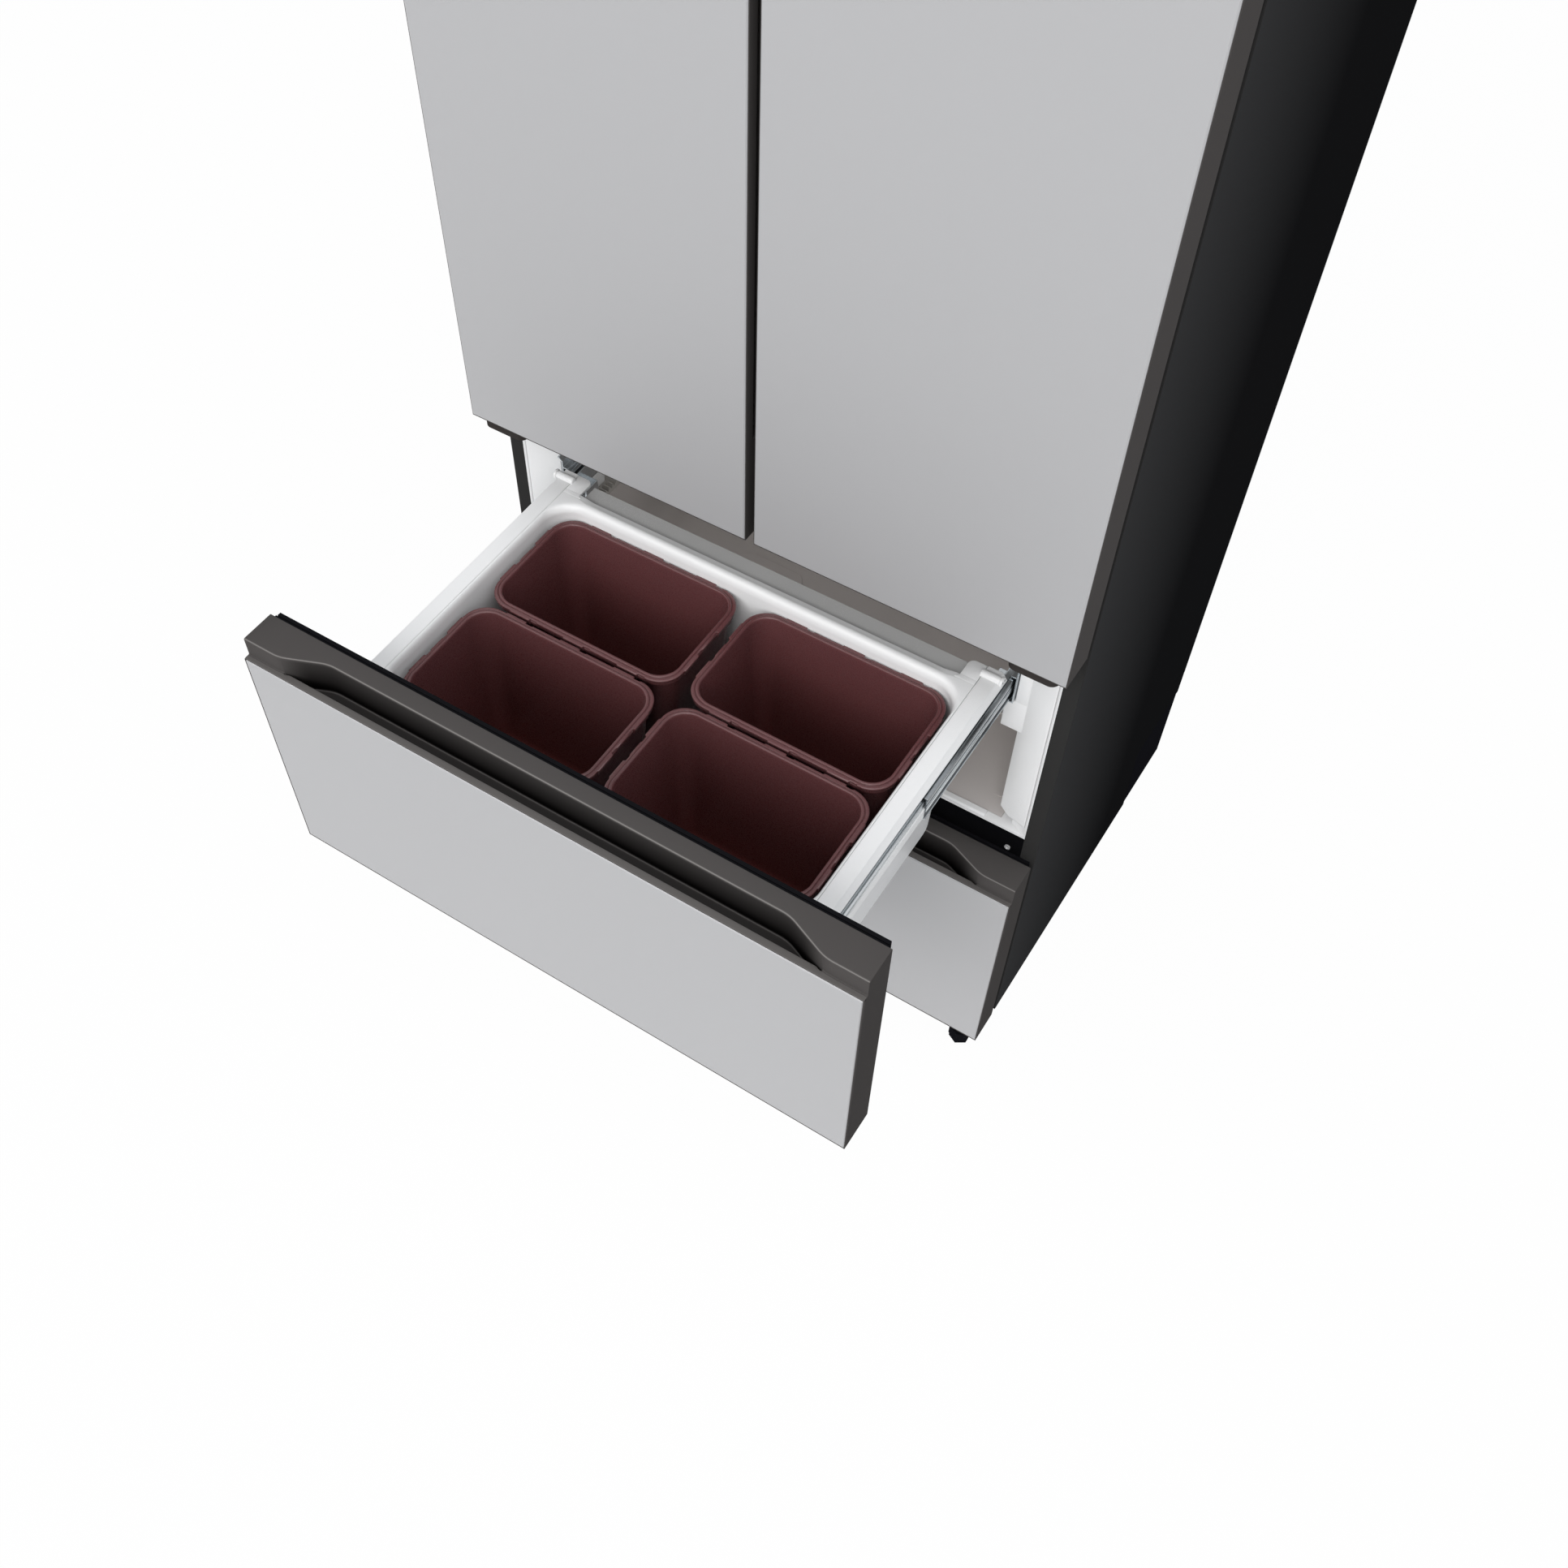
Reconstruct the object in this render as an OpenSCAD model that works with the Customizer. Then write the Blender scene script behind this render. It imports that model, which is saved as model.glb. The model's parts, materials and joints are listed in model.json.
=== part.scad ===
// Free-standing kimchi refrigerator: two hinged doors above two full-width drawers.
// Millimetres, +Z up. Built from the closed front plane (y = 0) backwards, then moved so that
// the origin is under the middle of the object as it stands, with the middle drawer pulled out.

/* [Cabinet] */
// Overall width across the fronts and the case
cab_w = 795; // [760:1:900]
// Height of the case top above the floor
case_top = 1830; // [1780:1:1950]
// Depth from the closed front faces to the back
cab_d = 636; // [630:1:720]
// Height of the case underside above the floor
case_lift = 66; // [60:1:75]
// Thickness of the case sheet
sheet_t = 1.5; // [1:0.1:2]
// Width of the dark flange around the case front
flange_w = 20; // [16:1:24]
// Insulated wall beside the drawer rooms
wall_w = 59.5; // [56:0.5:64]
// Insulated back wall
back_wall = 61; // [55:1:75]
// Thickness of the moulded room liners
liner_t = 3; // [2:0.5:4]
// Height of each rail across the front opening
rail_h = 50; // [46:1:56]
// Width of the post between the upper rooms
post_w = 54; // [48:1:60]

/* [Fronts] */
// Thickness of the doors and drawer fronts
front_t = 52; // [48:1:60]
// Gap between a front and the case, filled by its seal
seal_gap = 9; // [8:0.5:11]
// Thickness of the silver face panels
panel_t = 4; // [3:0.5:5]
// Gap between the two doors
door_gap = 11; // [8:1:16]
// How far the tops of the doors stand above the case
door_rise = 5; // [3:0.5:8]
// Height of the middle drawer front
mid_front_h = 368; // [355:1:372]
// Height of the lower drawer front
low_front_h = 390; // [380:1:400]
// Underside of the lower drawer front above the floor
low_front_z = 64; // [62:0.5:70]
// Gap between the two drawer fronts
drawer_gap = 20.5; // [16:0.5:24]
// Gap between the middle drawer front and the doors, where the hinge brackets sit
hinge_gap = 18; // [16:0.5:24]

/* [Handle] */
// Height of the handle trim above the face panel
handle_h = 25.7; // [20:0.1:32]
// How far the trim stands back at its ends
handle_end = 8; // [6:0.5:10]
// How far the finger edge stands back in the middle
handle_mid = 30; // [26:0.5:34]
// Ends of the straight finger edge in from the sides of the front
grip_end = 112.5; // [100:0.5:150]
// Length of each S-curve
curve_len = 72; // [60:1:80]
// Depth of the finger pocket below the ledge
pocket_depth = 22; // [12:1:28]

/* [Drawers] */
// How far the middle drawer stands open
middle_open = 416.8; // [380:0.1:425]
// Bin rim below the top of the drawer front
rim_drop = 68.5; // [60:0.5:80]
// Slide centre below the top of the drawer front
slide_drop = 101.5; // [101:0.5:103]
// Space beside the drawer inside for its side frame and slide, out to the wall of the room
slide_space = 53; // [51:0.5:55]
// Length of the drawer inside, at its rim
bin_len = 358; // [357:1:362]
// Space under the tub of the middle drawer
bin_under = 39.75; // [34:0.25:46]
// Space under the tub of the lower drawer
low_bin_under = 46.5; // [40:0.5:54]
// Wall of the drawer bins
bin_t = 3; // [2:0.5:4]
// Height of the fixed slide member
slide_h = 44; // [42:1:48]
// Sheet of the slide members
slide_t = 1.5; // [1:0.1:2]
// Module of the rack and pinion teeth
tooth_m = 2.5; // [2.4:0.05:2.6]
// Teeth on each pinion
pinion_teeth = 12; // [12:1:13]
// Face width of the racks and pinions
gear_w = 11; // [8:0.5:11]
// Diameter of the shaft that joins the pinions
shaft_d = 8; // [6:0.5:10]

/* [Containers] */
// Clearance between the containers and the sides of the drawer
cont_side = 10; // [9:0.5:14]
// Clearance in front of the containers
cont_front = 16; // [15:0.5:19]
// Clearance behind the containers
cont_back = 4; // [3:0.5:6]
// Rims of the containers below the rim of the middle drawer
cont_below = 18.5; // [17:0.5:30]
// Rims of the containers below the rim of the lower drawer
low_cont_below = 22.5; // [20:0.5:34]
// Gap between containers, side by side
cont_gap_x = 16; // [14:0.5:20]
// Gap between containers, front to back
cont_gap_y = 6; // [5:0.5:9]
// Wall of a container
cont_t = 2.5; // [2:0.1:3]
// Corner radius of the rim
cont_r = 32; // [26:1:36]

/* [Running gear] */
// Diameter of the hinge pins
pin_d = 10; // [8:0.5:12]
// Hinge pin in from the side of the door
pin_in = 22.5; // [20:0.5:23]
// Hinge pin back from the door face
pin_back = 20; // [19:0.5:22]
// Diameter of the front foot pads
foot_d = 40; // [30:1:44]
// Diameter of the foot stems
stem_d = 10; // [8:0.5:12]
// Diameter of the rear rollers
roller_d = 34; // [28:1:40]
// Diameter of the roller axles
axle_d = 8; // [6:0.5:10]
// Diameter of the condenser fan
fan_d = 120; // [100:1:126]

/* [Hidden] */
$fn = 64;
fit = 0.05;          // radial clearance of pins, stems and axles
near = 0.3;          // gap between a piece and the seat that it slides or rests on
seam = 0.2;          // gap between pieces of one assembly
hw = cab_w / 2;
case_y = front_t + seal_gap;
case_back = cab_d;
row_y = -(case_back - middle_open) / 2;

// Heights of the fronts
low_top = low_front_z + low_front_h;
mid_z = low_top + drawer_gap;
mid_top = mid_z + mid_front_h;
door_z = mid_top + hinge_gap;
door_top = case_top + door_rise;

// Rails across the front opening, each behind a gap between fronts
rail_deep = 24;
low_sill = case_lift + 26;
rail1_z = (low_top + mid_z) / 2 - rail_h / 2 + 2;
rail2_z = (mid_top + door_z) / 2 - rail_h / 2;
top_rail_z = case_top - 34;

// Half length of the straight finger edge
grip_half = hw - grip_end;

// Rooms
room_half = hw - wall_w;             // half width of the drawer rooms
jamb_half = hw - flange_w;           // inner edge of the case flange
back_in = case_back - back_wall;     // inner face of the back walls
upper_z0 = rail2_z + rail_h;
upper_z1 = top_rail_z;
mid_room_z0 = rail1_z + rail_h + 4;
mid_room_z1 = rail2_z - 3;
low_room_z0 = low_sill + 4;
low_room_z1 = rail1_z - 3;
jamb_deep = 40;                      // depth of the white front frame of a room
mid_sill = 12;                       // depth of the sill in front of the middle room's metal floor

// Machine room, under the rear of the lower room
machine_y = 466;
machine_z1 = case_lift + 196;
low_step_y = machine_y - 14;         // back of the deep part of the lower room
low_step_z = machine_z1 + 6;

// Tubs of the drawers
bin_half = room_half - slide_space;  // half width inside, at the rim
bin_depth = mid_top - rim_drop - bin_t - bin_under - mid_room_z0;
low_bin_depth = low_top - rim_drop - bin_t - low_bin_under - low_room_z0;

// Drawer slides, measured in the drawer: y from the closed front, z from its top edge
slide_y0 = case_y + 6;
slide_y1 = back_in - 15;
frame_x = bin_half + bin_t + 14;     // inner face of the side frame web
frame_t = 2;
rail_x = frame_x + frame_t;          // face that the drawer member is fixed to
inner_h = slide_h - 16;
inner_w = 8;
mid_slide_h = slide_h - 7;
mid_x1 = rail_x + 14.5;              // outer face of the middle member
mid_w = 11.5;
outer_x1 = mid_x1 + 3.5;             // outer face of the fixed member
outer_w = 9;
cover_x = bin_half + 33;             // outer edge of the side frame
bin_y0 = case_y + 11;                // inner face of the bin front
bin_y1 = bin_y0 + bin_len;
flange_y = bin_y1 + 17;              // rear edge of the bin flange
ear_y0 = flange_y - 3;
ear_y1 = flange_y + 27;
ear_x = bin_half - 19;
ear_r = 8;
barrel_d = 10;
bin_taper = 8;

// Rack and pinion
pitch = PI * tooth_m;
pinion_r = tooth_m * pinion_teeth / 2;
backlash = 0.35;
gear_x1 = rail_x + 2.5;
gear_x0 = gear_x1 - gear_w;
pinion_tip = slide_drop + inner_h / 2 + 2;             // top of the pinion below the front's top
pinion_drop = pinion_tip + pinion_r + tooth_m;         // shaft centre below the front's top
pinion_y = ear_y1 + pinion_r + tooth_m + 8;            // shaft centre, drawer closed
rack_y0 = case_y + 12;
rack_y1 = pinion_y + 4 * pitch;
rack_base_t = 5;
rack_root = 0.6;                                       // room under the tips of the pinion's teeth
rack_top = -pinion_drop - pinion_r - tooth_m - rack_root;   // foot of the teeth below the front's top

// Containers in the drawer
rim_h = 10;
rim_w = 9;
draft = 0.075;
lug_l = 22;
cont_y0 = bin_y0 + cont_front;
cont_w = bin_half - cont_side - cont_gap_x / 2;
cont_d = (bin_len - cont_front - cont_gap_y - cont_back) / 2;
cont_h = bin_depth - cont_below;
low_cont_h = low_bin_depth - low_cont_below;

// Hinges
pin_x = hw - pin_in;
plate_t = 9;
low_plate_z = mid_top + 5;
pin_len = 18;
washer_t = door_z - near - (low_plate_z + plate_t);
top_plate_z = door_top + 3;
top_plate_t = 5;
cover_top = top_plate_z + top_plate_t + 7;
hinge_back = case_y + 90;
grip_z0 = door_z + 140;
grip_z1 = door_top - 334.5;

// Upper room shelves
shelf_t = 5;
shelf_y0 = case_y + 84;
shelf_y1 = back_in - 15;
shelf_n = 3;
shelf_step = (upper_z1 - upper_z0) / (shelf_n + 1);
rib_w = 6;
room_gap = 4;

// Door inside
dike_in = 56;
dike_out = hw - 62;
dike_z0 = upper_z0 + 12;
dike_z1 = upper_z1 - 12;
dike_y = case_y + 40;
dike_t = 16;
bin_n = 3;
door_bin_y = case_y + 64;
door_bin_h = 90;

// Running gear
foot_y = 30;
foot_x = hw - 34;
arm_t = 8;
arm_z = low_front_z - 4 - arm_t;
pad_h = 8;
hex_d = 38;          // over the corners of the hexagon above the pad
nut_h = 7;
roller_x = hw - 40;
roller_y = case_back - 38;
roller_w = 22;
fan_x = 60;
fan_y = machine_y + 84;
fan_z = case_lift + 2 + 64 + 30;
comp_x = -hw + 207.5;
comp_y = machine_y + 84;

// ---- helpers ------------------------------------------------------------------------------

// Box between two opposite corners
module block(low, high) translate(low) cube(high - low);

// The children and their mirror image across the middle plane
module both_sides() {
    children();
    mirror([1, 0, 0]) children();
}

// A Y-Z outline (y to the right) extruded along X
module along_x(x0, x1) translate([x0, 0, 0]) rotate([90, 0, 90]) linear_extrude(x1 - x0) children();

// An X-Z outline extruded along Y
module along_y(y0, y1) translate([0, y1, 0]) rotate([90, 0, 0]) linear_extrude(y1 - y0) children();

// An X-Y outline extruded along Z
module along_z(z0, z1) translate([0, 0, z0]) linear_extrude(z1 - z0) children();

// Cylinders along X and Z
module rod_x(x0, x1, d) translate([x0, 0, 0]) rotate([0, 90, 0]) cylinder(d = d, h = x1 - x0);
module rod_z(z0, z1, d) translate([0, 0, z0]) cylinder(d = d, h = z1 - z0);

module rect(low, high) translate(low) square(high - low);

module round_rect(low, high, r) {
    rect([low.x + r, low.y], [high.x - r, high.y]);
    rect([low.x, low.y + r], [high.x, high.y - r]);
    for (x = [low.x + r, high.x - r], y = [low.y + r, high.y - r]) translate([x, y]) circle(r);
}

// Block with rounded upright corners whose sides all come in by the taper towards its floor
module drafted(low, high, r, z0, z1, taper) {
    half = (high - low) / 2;
    translate([low.x + half.x, low.y + half.y, z1]) mirror([0, 0, 1])
        linear_extrude(z1 - z0, scale = [1 - taper / half.x, 1 - taper / half.y], slices = 1)
            round_rect(-half, half, r, $fn = 32);
}

// Rectangle whose front corners (low y) are cut off at 45 degrees
module chamfered(x0, x1, y0, y1, c)
    polygon([[x0 + c, y0], [x1 - c, y0], [x1, y0 + c], [x1, y1], [x0, y1], [x0, y0 + c]]);

// Box with an open front: walls of thickness t around the given inside
module open_box(low, high, t) difference() {
    block([low.x - t, low.y, low.z - t], [high.x + t, high.y + t, high.z + t]);
    block([low.x, low.y - 1, low.z], [high.x, high.y, high.z]);
}

// Ring of the given width between two corners of its outer edge, seen from the front
module ring(low, high, width) difference() {
    rect(low, high);
    rect(low + [width, width], high - [width, width]);
}

// Places a drawer's pieces: z is measured from the top of its front
module in_drawer(top, open) translate([0, -open, top]) children();
module middle() in_drawer(mid_top, middle_open) children();
module lower() in_drawer(low_top, 0) children();

module right_side(side) if (side > 0) children(); else mirror([1, 0, 0]) children();

// ---- cabinet ------------------------------------------------------------------------------

wing_y = 487;        // the lower rear of each side is let in as a grip
wing_z = case_lift + 150;
wing_in = 11;

module outer_case() color([0.16, 0.155, 0.16]) difference() {
    union() {
        both_sides() {
            block([hw - sheet_t, case_y, case_lift], [hw, case_back - sheet_t, case_top]);
            block([hw - flange_w, case_y, case_lift], [hw, case_y + sheet_t, case_top]);
        }
        block([-hw, case_y, case_top - sheet_t], [hw, case_back - sheet_t, case_top]);
        block([-hw, case_y, top_rail_z], [hw, case_y + sheet_t, case_top]);
    }
    both_sides() along_x(hw - sheet_t - 1, hw + 1)
        polygon([[wing_y + 16, case_lift - 1], [case_back + 1, case_lift - 1], [case_back + 1, wing_z],
            [wing_y, wing_z]]);
}

module back_panel() color([0.55, 0.56, 0.57]) difference() {
    block([-hw, case_back - sheet_t, machine_z1], [hw, case_back, case_top]);
    for (i = [0 : 2]) translate([0, case_back, machine_z1 + 330 + 330 * i])
        along_x(-hw + 90, hw - 90) polygon([[-0.7, -7], [0.1, -9], [0.1, 9], [-0.7, 7]]);
}

module base_pan() color([0.42, 0.43, 0.44]) {
    pan = 2;
    block([-hw + sheet_t + seam, case_y + sheet_t + seam, case_lift],
        [hw - sheet_t - seam, case_back - sheet_t - seam, case_lift + pan]);
    both_sides() {
        // let-in plate behind the side grip, closed off from the foam
        wing_x = hw - wing_in;
        block([wing_x - 2, wing_y, case_lift + pan], [wing_x, case_back - sheet_t - seam, wing_z]);
        block([wing_x - 2, wing_y - 2, case_lift + pan], [hw - sheet_t - seam, wing_y, wing_z + 2]);
        block([wing_x - 2, wing_y, wing_z], [hw - sheet_t - seam, case_back - sheet_t - seam, wing_z + 2]);
        // arm that carries the front foot under the lower drawer front
        difference() {
            union() {
                along_z(arm_z, arm_z + arm_t) {
                    rect([foot_x - 20, foot_y], [foot_x + 20, case_y + 60]);
                    translate([foot_x, foot_y]) circle(20);
                }
                block([foot_x - 20, case_y + 30, arm_z + arm_t], [foot_x + 20, case_y + 60, case_lift]);
            }
            translate([foot_x, foot_y, 0]) rod_z(arm_z - 1, arm_z + arm_t + 1, stem_d + 2 * fit);
        }
        // fork and axle of the rear roller
        translate([roller_x, roller_y, roller_d / 2]) {
            for (s = [-1, 1]) {
                x = s * (roller_w / 2 + 1.5 + near);
                block([x - 1.5, -12, -6], [x + 1.5, 12, case_lift - roller_d / 2]);
            }
            rod_x(-roller_w / 2 - 5, roller_w / 2 + 5, axle_d);
        }
    }
}

// Channel across the opening, open to the foam behind it
module cross_rail(z0, z1) difference() {
    block([-jamb_half, case_y, z0], [jamb_half, case_y + rail_deep, z1]);
    block([-jamb_half + 2, case_y + 2, z0 + 2], [jamb_half - 2, case_y + rail_deep + 1, z1 - 2]);
}

module front_rails() color([0.1, 0.1, 0.105]) {
    cross_rail(case_lift + 2, low_sill);
    cross_rail(rail1_z, rail1_z + rail_h);
    cross_rail(rail2_z, rail2_z + rail_h);
    difference() {
        block([-post_w / 2, case_y, upper_z0], [post_w / 2, case_y + rail_deep, upper_z1]);
        block([-post_w / 2 + 2, case_y + 2, upper_z0 - 1],
            [post_w / 2 - 2, case_y + rail_deep + 1, upper_z1 + 1]);
    }
}

// Upper room: a moulded tub on its side, with ribs that carry the shelves
module upper_liner() {
    x0 = post_w / 2 + liner_t;
    x1 = room_half;
    open_box([x0, case_y, upper_z0 + liner_t], [x1, back_in, upper_z1 - liner_t], liner_t);
    block([x1, case_y, upper_z0], [jamb_half, case_y + liner_t, upper_z1]);
    for (i = [1 : shelf_n]) {
        z = upper_z0 + i * shelf_step;
        for (x = [x0, x1 - rib_w]) along_x(x, x + rib_w)
            polygon([[shelf_y0, z - 4], [back_in, z - 4], [back_in, z], [shelf_y0, z]]);
    }
}

module upper_liners() color([0.93, 0.93, 0.92]) both_sides() upper_liner();

// White front frame of a drawer room: flared jambs, a ridged sill and a block under each slide
module room_frame(z0, z1, top, sill_deep) {
    along_z(z0, z1) both_sides() polygon([[jamb_half, case_y], [jamb_half, case_y + liner_t],
        [room_half + 15 + liner_t, case_y + 14], [room_half + liner_t, case_y + jamb_deep],
        [room_half, case_y + jamb_deep], [room_half, case_y + jamb_deep - 8],
        [room_half + 15, case_y + 11], [jamb_half - 1, case_y]]);
    along_z(z0 - liner_t - 1, z0) both_sides() difference() {
        polygon([[-1, case_y], [jamb_half, case_y], [jamb_half, case_y + liner_t],
            [room_half + 15 + liner_t, case_y + 14], [room_half + liner_t, case_y + jamb_deep],
            [-1, case_y + jamb_deep]]);
        rect([-2, case_y + sill_deep], [room_half, case_y + jamb_deep + 1]);
    }
    both_sides() along_x(0, room_half - 19) polygon([[case_y + 1, z0 - 1], [case_y + 1, z0],
        [case_y + 3, z0 + 3], [case_y + 10, z0 + 3], [case_y + 11, z0], [case_y + 11, z0 - 1]]);
    block([-room_half - liner_t, case_y, z1], [room_half + liner_t, case_y + jamb_deep, z1 + 3]);
    // pad under the front end of each slide
    both_sides() for (e = [[outer_x1 - outer_w, case_y + jamb_deep - 8, room_half, case_y + 78],
            [room_half - 1, case_y + jamb_deep - 8, room_half + 1, case_y + jamb_deep]])
        block([e[0], e[1], top + rack_top - 2 + near], [e[2], e[3], top - slide_drop - slide_h / 2]);
}

module middle_liner() color([0.93, 0.93, 0.925])
    room_frame(mid_room_z0, mid_room_z1, mid_top, mid_sill);

// Corner of the panel pressed into the floor of the middle room
emboss_x = -room_half + 148;
emboss_y = case_y + 114;

// Metal inner box that carries the cold: floor, walls and back of the middle room
module middle_cold_box() color([0.47, 0.44, 0.42]) difference() {
    union() {
        open_box([-room_half, case_y + jamb_deep, mid_room_z0], [room_half, back_in, mid_room_z1], liner_t);
        // the floor runs on to the sill
        block([-room_half + seam, case_y + mid_sill + seam, mid_room_z0 - liner_t],
            [room_half - seam, case_y + jamb_deep + 1, mid_room_z0]);
        // raised panel pressed into the floor, and the round corners between floor and walls
        along_z(mid_room_z0, mid_room_z0 + 1.5) translate([emboss_x, emboss_y])
            round_rect([0, 0], [105, 118], 20);
        both_sides() along_y(case_y + jamb_deep, back_in) difference() {
            rect([room_half - 28, mid_room_z0 - 1], [room_half + 1, mid_room_z0 + 28]);
            translate([room_half - 28, mid_room_z0 + 28]) circle(28);
        }
    }
    both_sides() translate([room_half - 30, 0, 0])
        block([-1, case_y + jamb_deep + 30, mid_room_z0 - 1], [1, back_in - 20, mid_room_z0 - liner_t + 1]);
}

// Lower room: deep in front, stepped up over the machine room
module lower_liner() color([0.9, 0.9, 0.895]) {
    difference() {
        union() {
            block([-room_half - liner_t, case_y + jamb_deep, low_room_z0 - liner_t],
                [room_half + liner_t, low_step_y + liner_t, low_room_z1 + liner_t]);
            block([-room_half - liner_t, case_y + jamb_deep, low_step_z - liner_t],
                [room_half + liner_t, back_in + liner_t, low_room_z1 + liner_t]);
        }
        block([-room_half, case_y, low_room_z0], [room_half, low_step_y, low_room_z1]);
        block([-room_half, case_y, low_step_z], [room_half, back_in, low_room_z1]);
    }
    room_frame(low_room_z0, low_room_z1, low_top, jamb_deep);
}

// Insulation that fills the case around the rooms
module foam_insulation() color([0.87, 0.82, 0.62]) difference() {
    block([-hw + sheet_t, case_y + sheet_t, case_lift + 2],
        [hw - sheet_t, case_back - sheet_t, case_top - sheet_t]);
    // rooms with their liners
    both_sides() block([-1, case_y, upper_z0], [room_half + liner_t, back_in + liner_t, upper_z1]);
    block([-room_half - liner_t, case_y, mid_room_z0 - 4],
        [room_half + liner_t, back_in + liner_t, mid_room_z1 + liner_t]);
    block([-room_half - liner_t, case_y, low_room_z0 - 4],
        [room_half + liner_t, low_step_y + liner_t, low_room_z1 + liner_t]);
    block([-room_half - liner_t, case_y, low_step_z - liner_t],
        [room_half + liner_t, back_in + liner_t, low_room_z1 + liner_t]);
    // front frame, jambs and rails
    block([-jamb_half, case_y, case_lift], [jamb_half, case_y + jamb_deep, low_room_z1 + liner_t]);
    block([-jamb_half, case_y, rail1_z], [jamb_half, case_y + rail_deep, rail1_z + rail_h]);
    block([-jamb_half, case_y, mid_room_z0 - 4], [jamb_half, case_y + jamb_deep, mid_room_z1 + liner_t]);
    block([-jamb_half, case_y, rail2_z], [jamb_half, case_y + rail_deep, upper_z0]);
    block([-jamb_half, case_y, upper_z0], [jamb_half, case_y + liner_t, upper_z1]);
    // machine room and side grips
    block([-hw, machine_y, case_lift], [hw, case_back, machine_z1]);
    both_sides() block([hw - wing_in - 2, wing_y - 2, case_lift], [hw, case_back, wing_z + 2]);
}

// ---- machine room ---------------------------------------------------------------------------

module compressor() color([0.08, 0.08, 0.085]) translate([comp_x, comp_y, case_lift + 2]) {
    translate([0, 0, 14]) {
        rod_z(8, 88, 124);
        translate([0, 0, 88]) intersection() {
            sphere(d = 124);
            translate([0, 0, 30]) cube([130, 130, 60], center = true);
        }
        translate([0, 0, 8]) intersection() {
            sphere(d = 124);
            translate([0, 0, -4]) cube([130, 130, 8], center = true);
        }
    }
    // mounting plate on rubber feet
    along_z(12, 15) round_rect([-88, -58], [88, 58], 14);
    for (x = [-74, 74], y = [-42, 42]) translate([x, y, 0]) rod_z(0, 12, 22);
    // terminal box and pipe stubs
    block([55, -24, 52], [82, 24, 96]);
    translate([0, -40, 80]) rod_z(0, 44, 8);
    translate([-24, -40, 80]) rod_z(0, 36, 8);
}

// Serpentine tube with a turn at each end, beside the fan
module condenser_coil() color([0.09, 0.09, 0.095]) {
    tube = 6;
    rows = 5;
    step = 22;
    y = fan_y + 30;
    z0 = case_lift + 2 + 24;
    x0 = fan_x + 40;
    x1 = fan_x + 200;
    for (i = [0 : rows - 1]) translate([0, y, z0 + i * step]) rod_x(x0, x1, tube);
    for (i = [0 : rows - 2]) translate([i % 2 == 0 ? x1 : x0, y, z0 + (i + 0.5) * step])
        rotate([90, 0, 0]) rotate([0, 0, i % 2 == 0 ? -90 : 90])
            rotate_extrude(angle = 180) translate([step / 2, 0]) circle(d = tube);
    for (x = [x0 + 12 : 12 : x1 - 8])
        block([x, y - 12, z0 - 24], [x + 1, y + 12, z0 + (rows - 1) * step + 10]);
}

module fan_shroud() color([0.12, 0.12, 0.125]) translate([fan_x, fan_y, 0]) {
    difference() {
        block([-4, -70, case_lift + 2], [22, 70, fan_z + 66]);
        translate([0, 0, fan_z]) rod_x(-5, 23, fan_d + 6);
    }
    // three arms and the motor that carries the fan
    translate([0, 0, fan_z]) {
        for (a = [90, 210, 330]) rotate([a, 0, 0]) block([-4, -4, 14], [0, 4, fan_d / 2 + 5]);
        rod_x(-4, 8, 34);
        rod_x(8, 19, 6);
    }
}

module condenser_fan() color([0.2, 0.2, 0.21]) translate([fan_x, fan_y, fan_z]) {
    difference() {
        rod_x(8 + near, 20, 36);
        rod_x(8, 19 + near, 6 + 2 * fit);
    }
    for (i = [0 : 4]) rotate([i * 72, 0, 0]) translate([14, 0, 16]) rotate([0, 0, 28])
        block([-1, -20, 0], [1, 20, fan_d / 2 - 22]);
}

module drain_tray() color([0.75, 0.76, 0.77])
    translate([comp_x, comp_y, case_lift + 2 + 14 + 88 + 60]) difference() {
    along_z(near, 26) round_rect([-110, -74], [110, 74], 16);
    along_z(3, 27) round_rect([-107, -71], [107, 71], 13);
}

module machine_cover() color([0.2, 0.2, 0.205]) difference() {
    block([-hw + wing_in + seam, case_back - sheet_t, case_lift + 2],
        [hw - wing_in - seam, case_back, machine_z1 - seam]);
    for (x = [-300 : 30 : 300], z = [case_lift + 50 : 34 : machine_z1 - 50])
        along_y(case_back - 5, case_back + 1) round_slot(x, z);
}

module round_slot(x, z) {
    rect([x - 8, z - 3], [x + 8, z + 3]);
    for (s = [-8, 8]) translate([x + s, z]) circle(3, $fn = 24);
}

// ---- hinges ---------------------------------------------------------------------------------

module lower_hinges() color([0.27, 0.255, 0.245]) both_sides() {
    along_z(low_plate_z, low_plate_z + plate_t) difference() {
        union() {
            round_rect([hw - 72, 5], [hw - 12, case_y + 20], 10);
            // the inner end falls back towards the case and is rounded
            polygon([[hw - 63, 5.5], [hw - 95, case_y - 26], [hw - 101, case_y - 14],
                [hw - 101, case_y], [hw - 62, case_y]]);
            translate([hw - 93, case_y - 17]) circle(8);
        }
        rect([0, case_y], [hw, case_y + 30]);
    }
    block([hw - 101, case_y - 2, mid_top + 0.5], [hw - 12, case_y, door_z - 3]);
    translate([pin_x, pin_back, 0]) {
        rod_z(low_plate_z + plate_t, low_plate_z + plate_t + washer_t, pin_d + 8);
        rod_z(low_plate_z + plate_t, door_z + pin_len, pin_d);
    }
}

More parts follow.
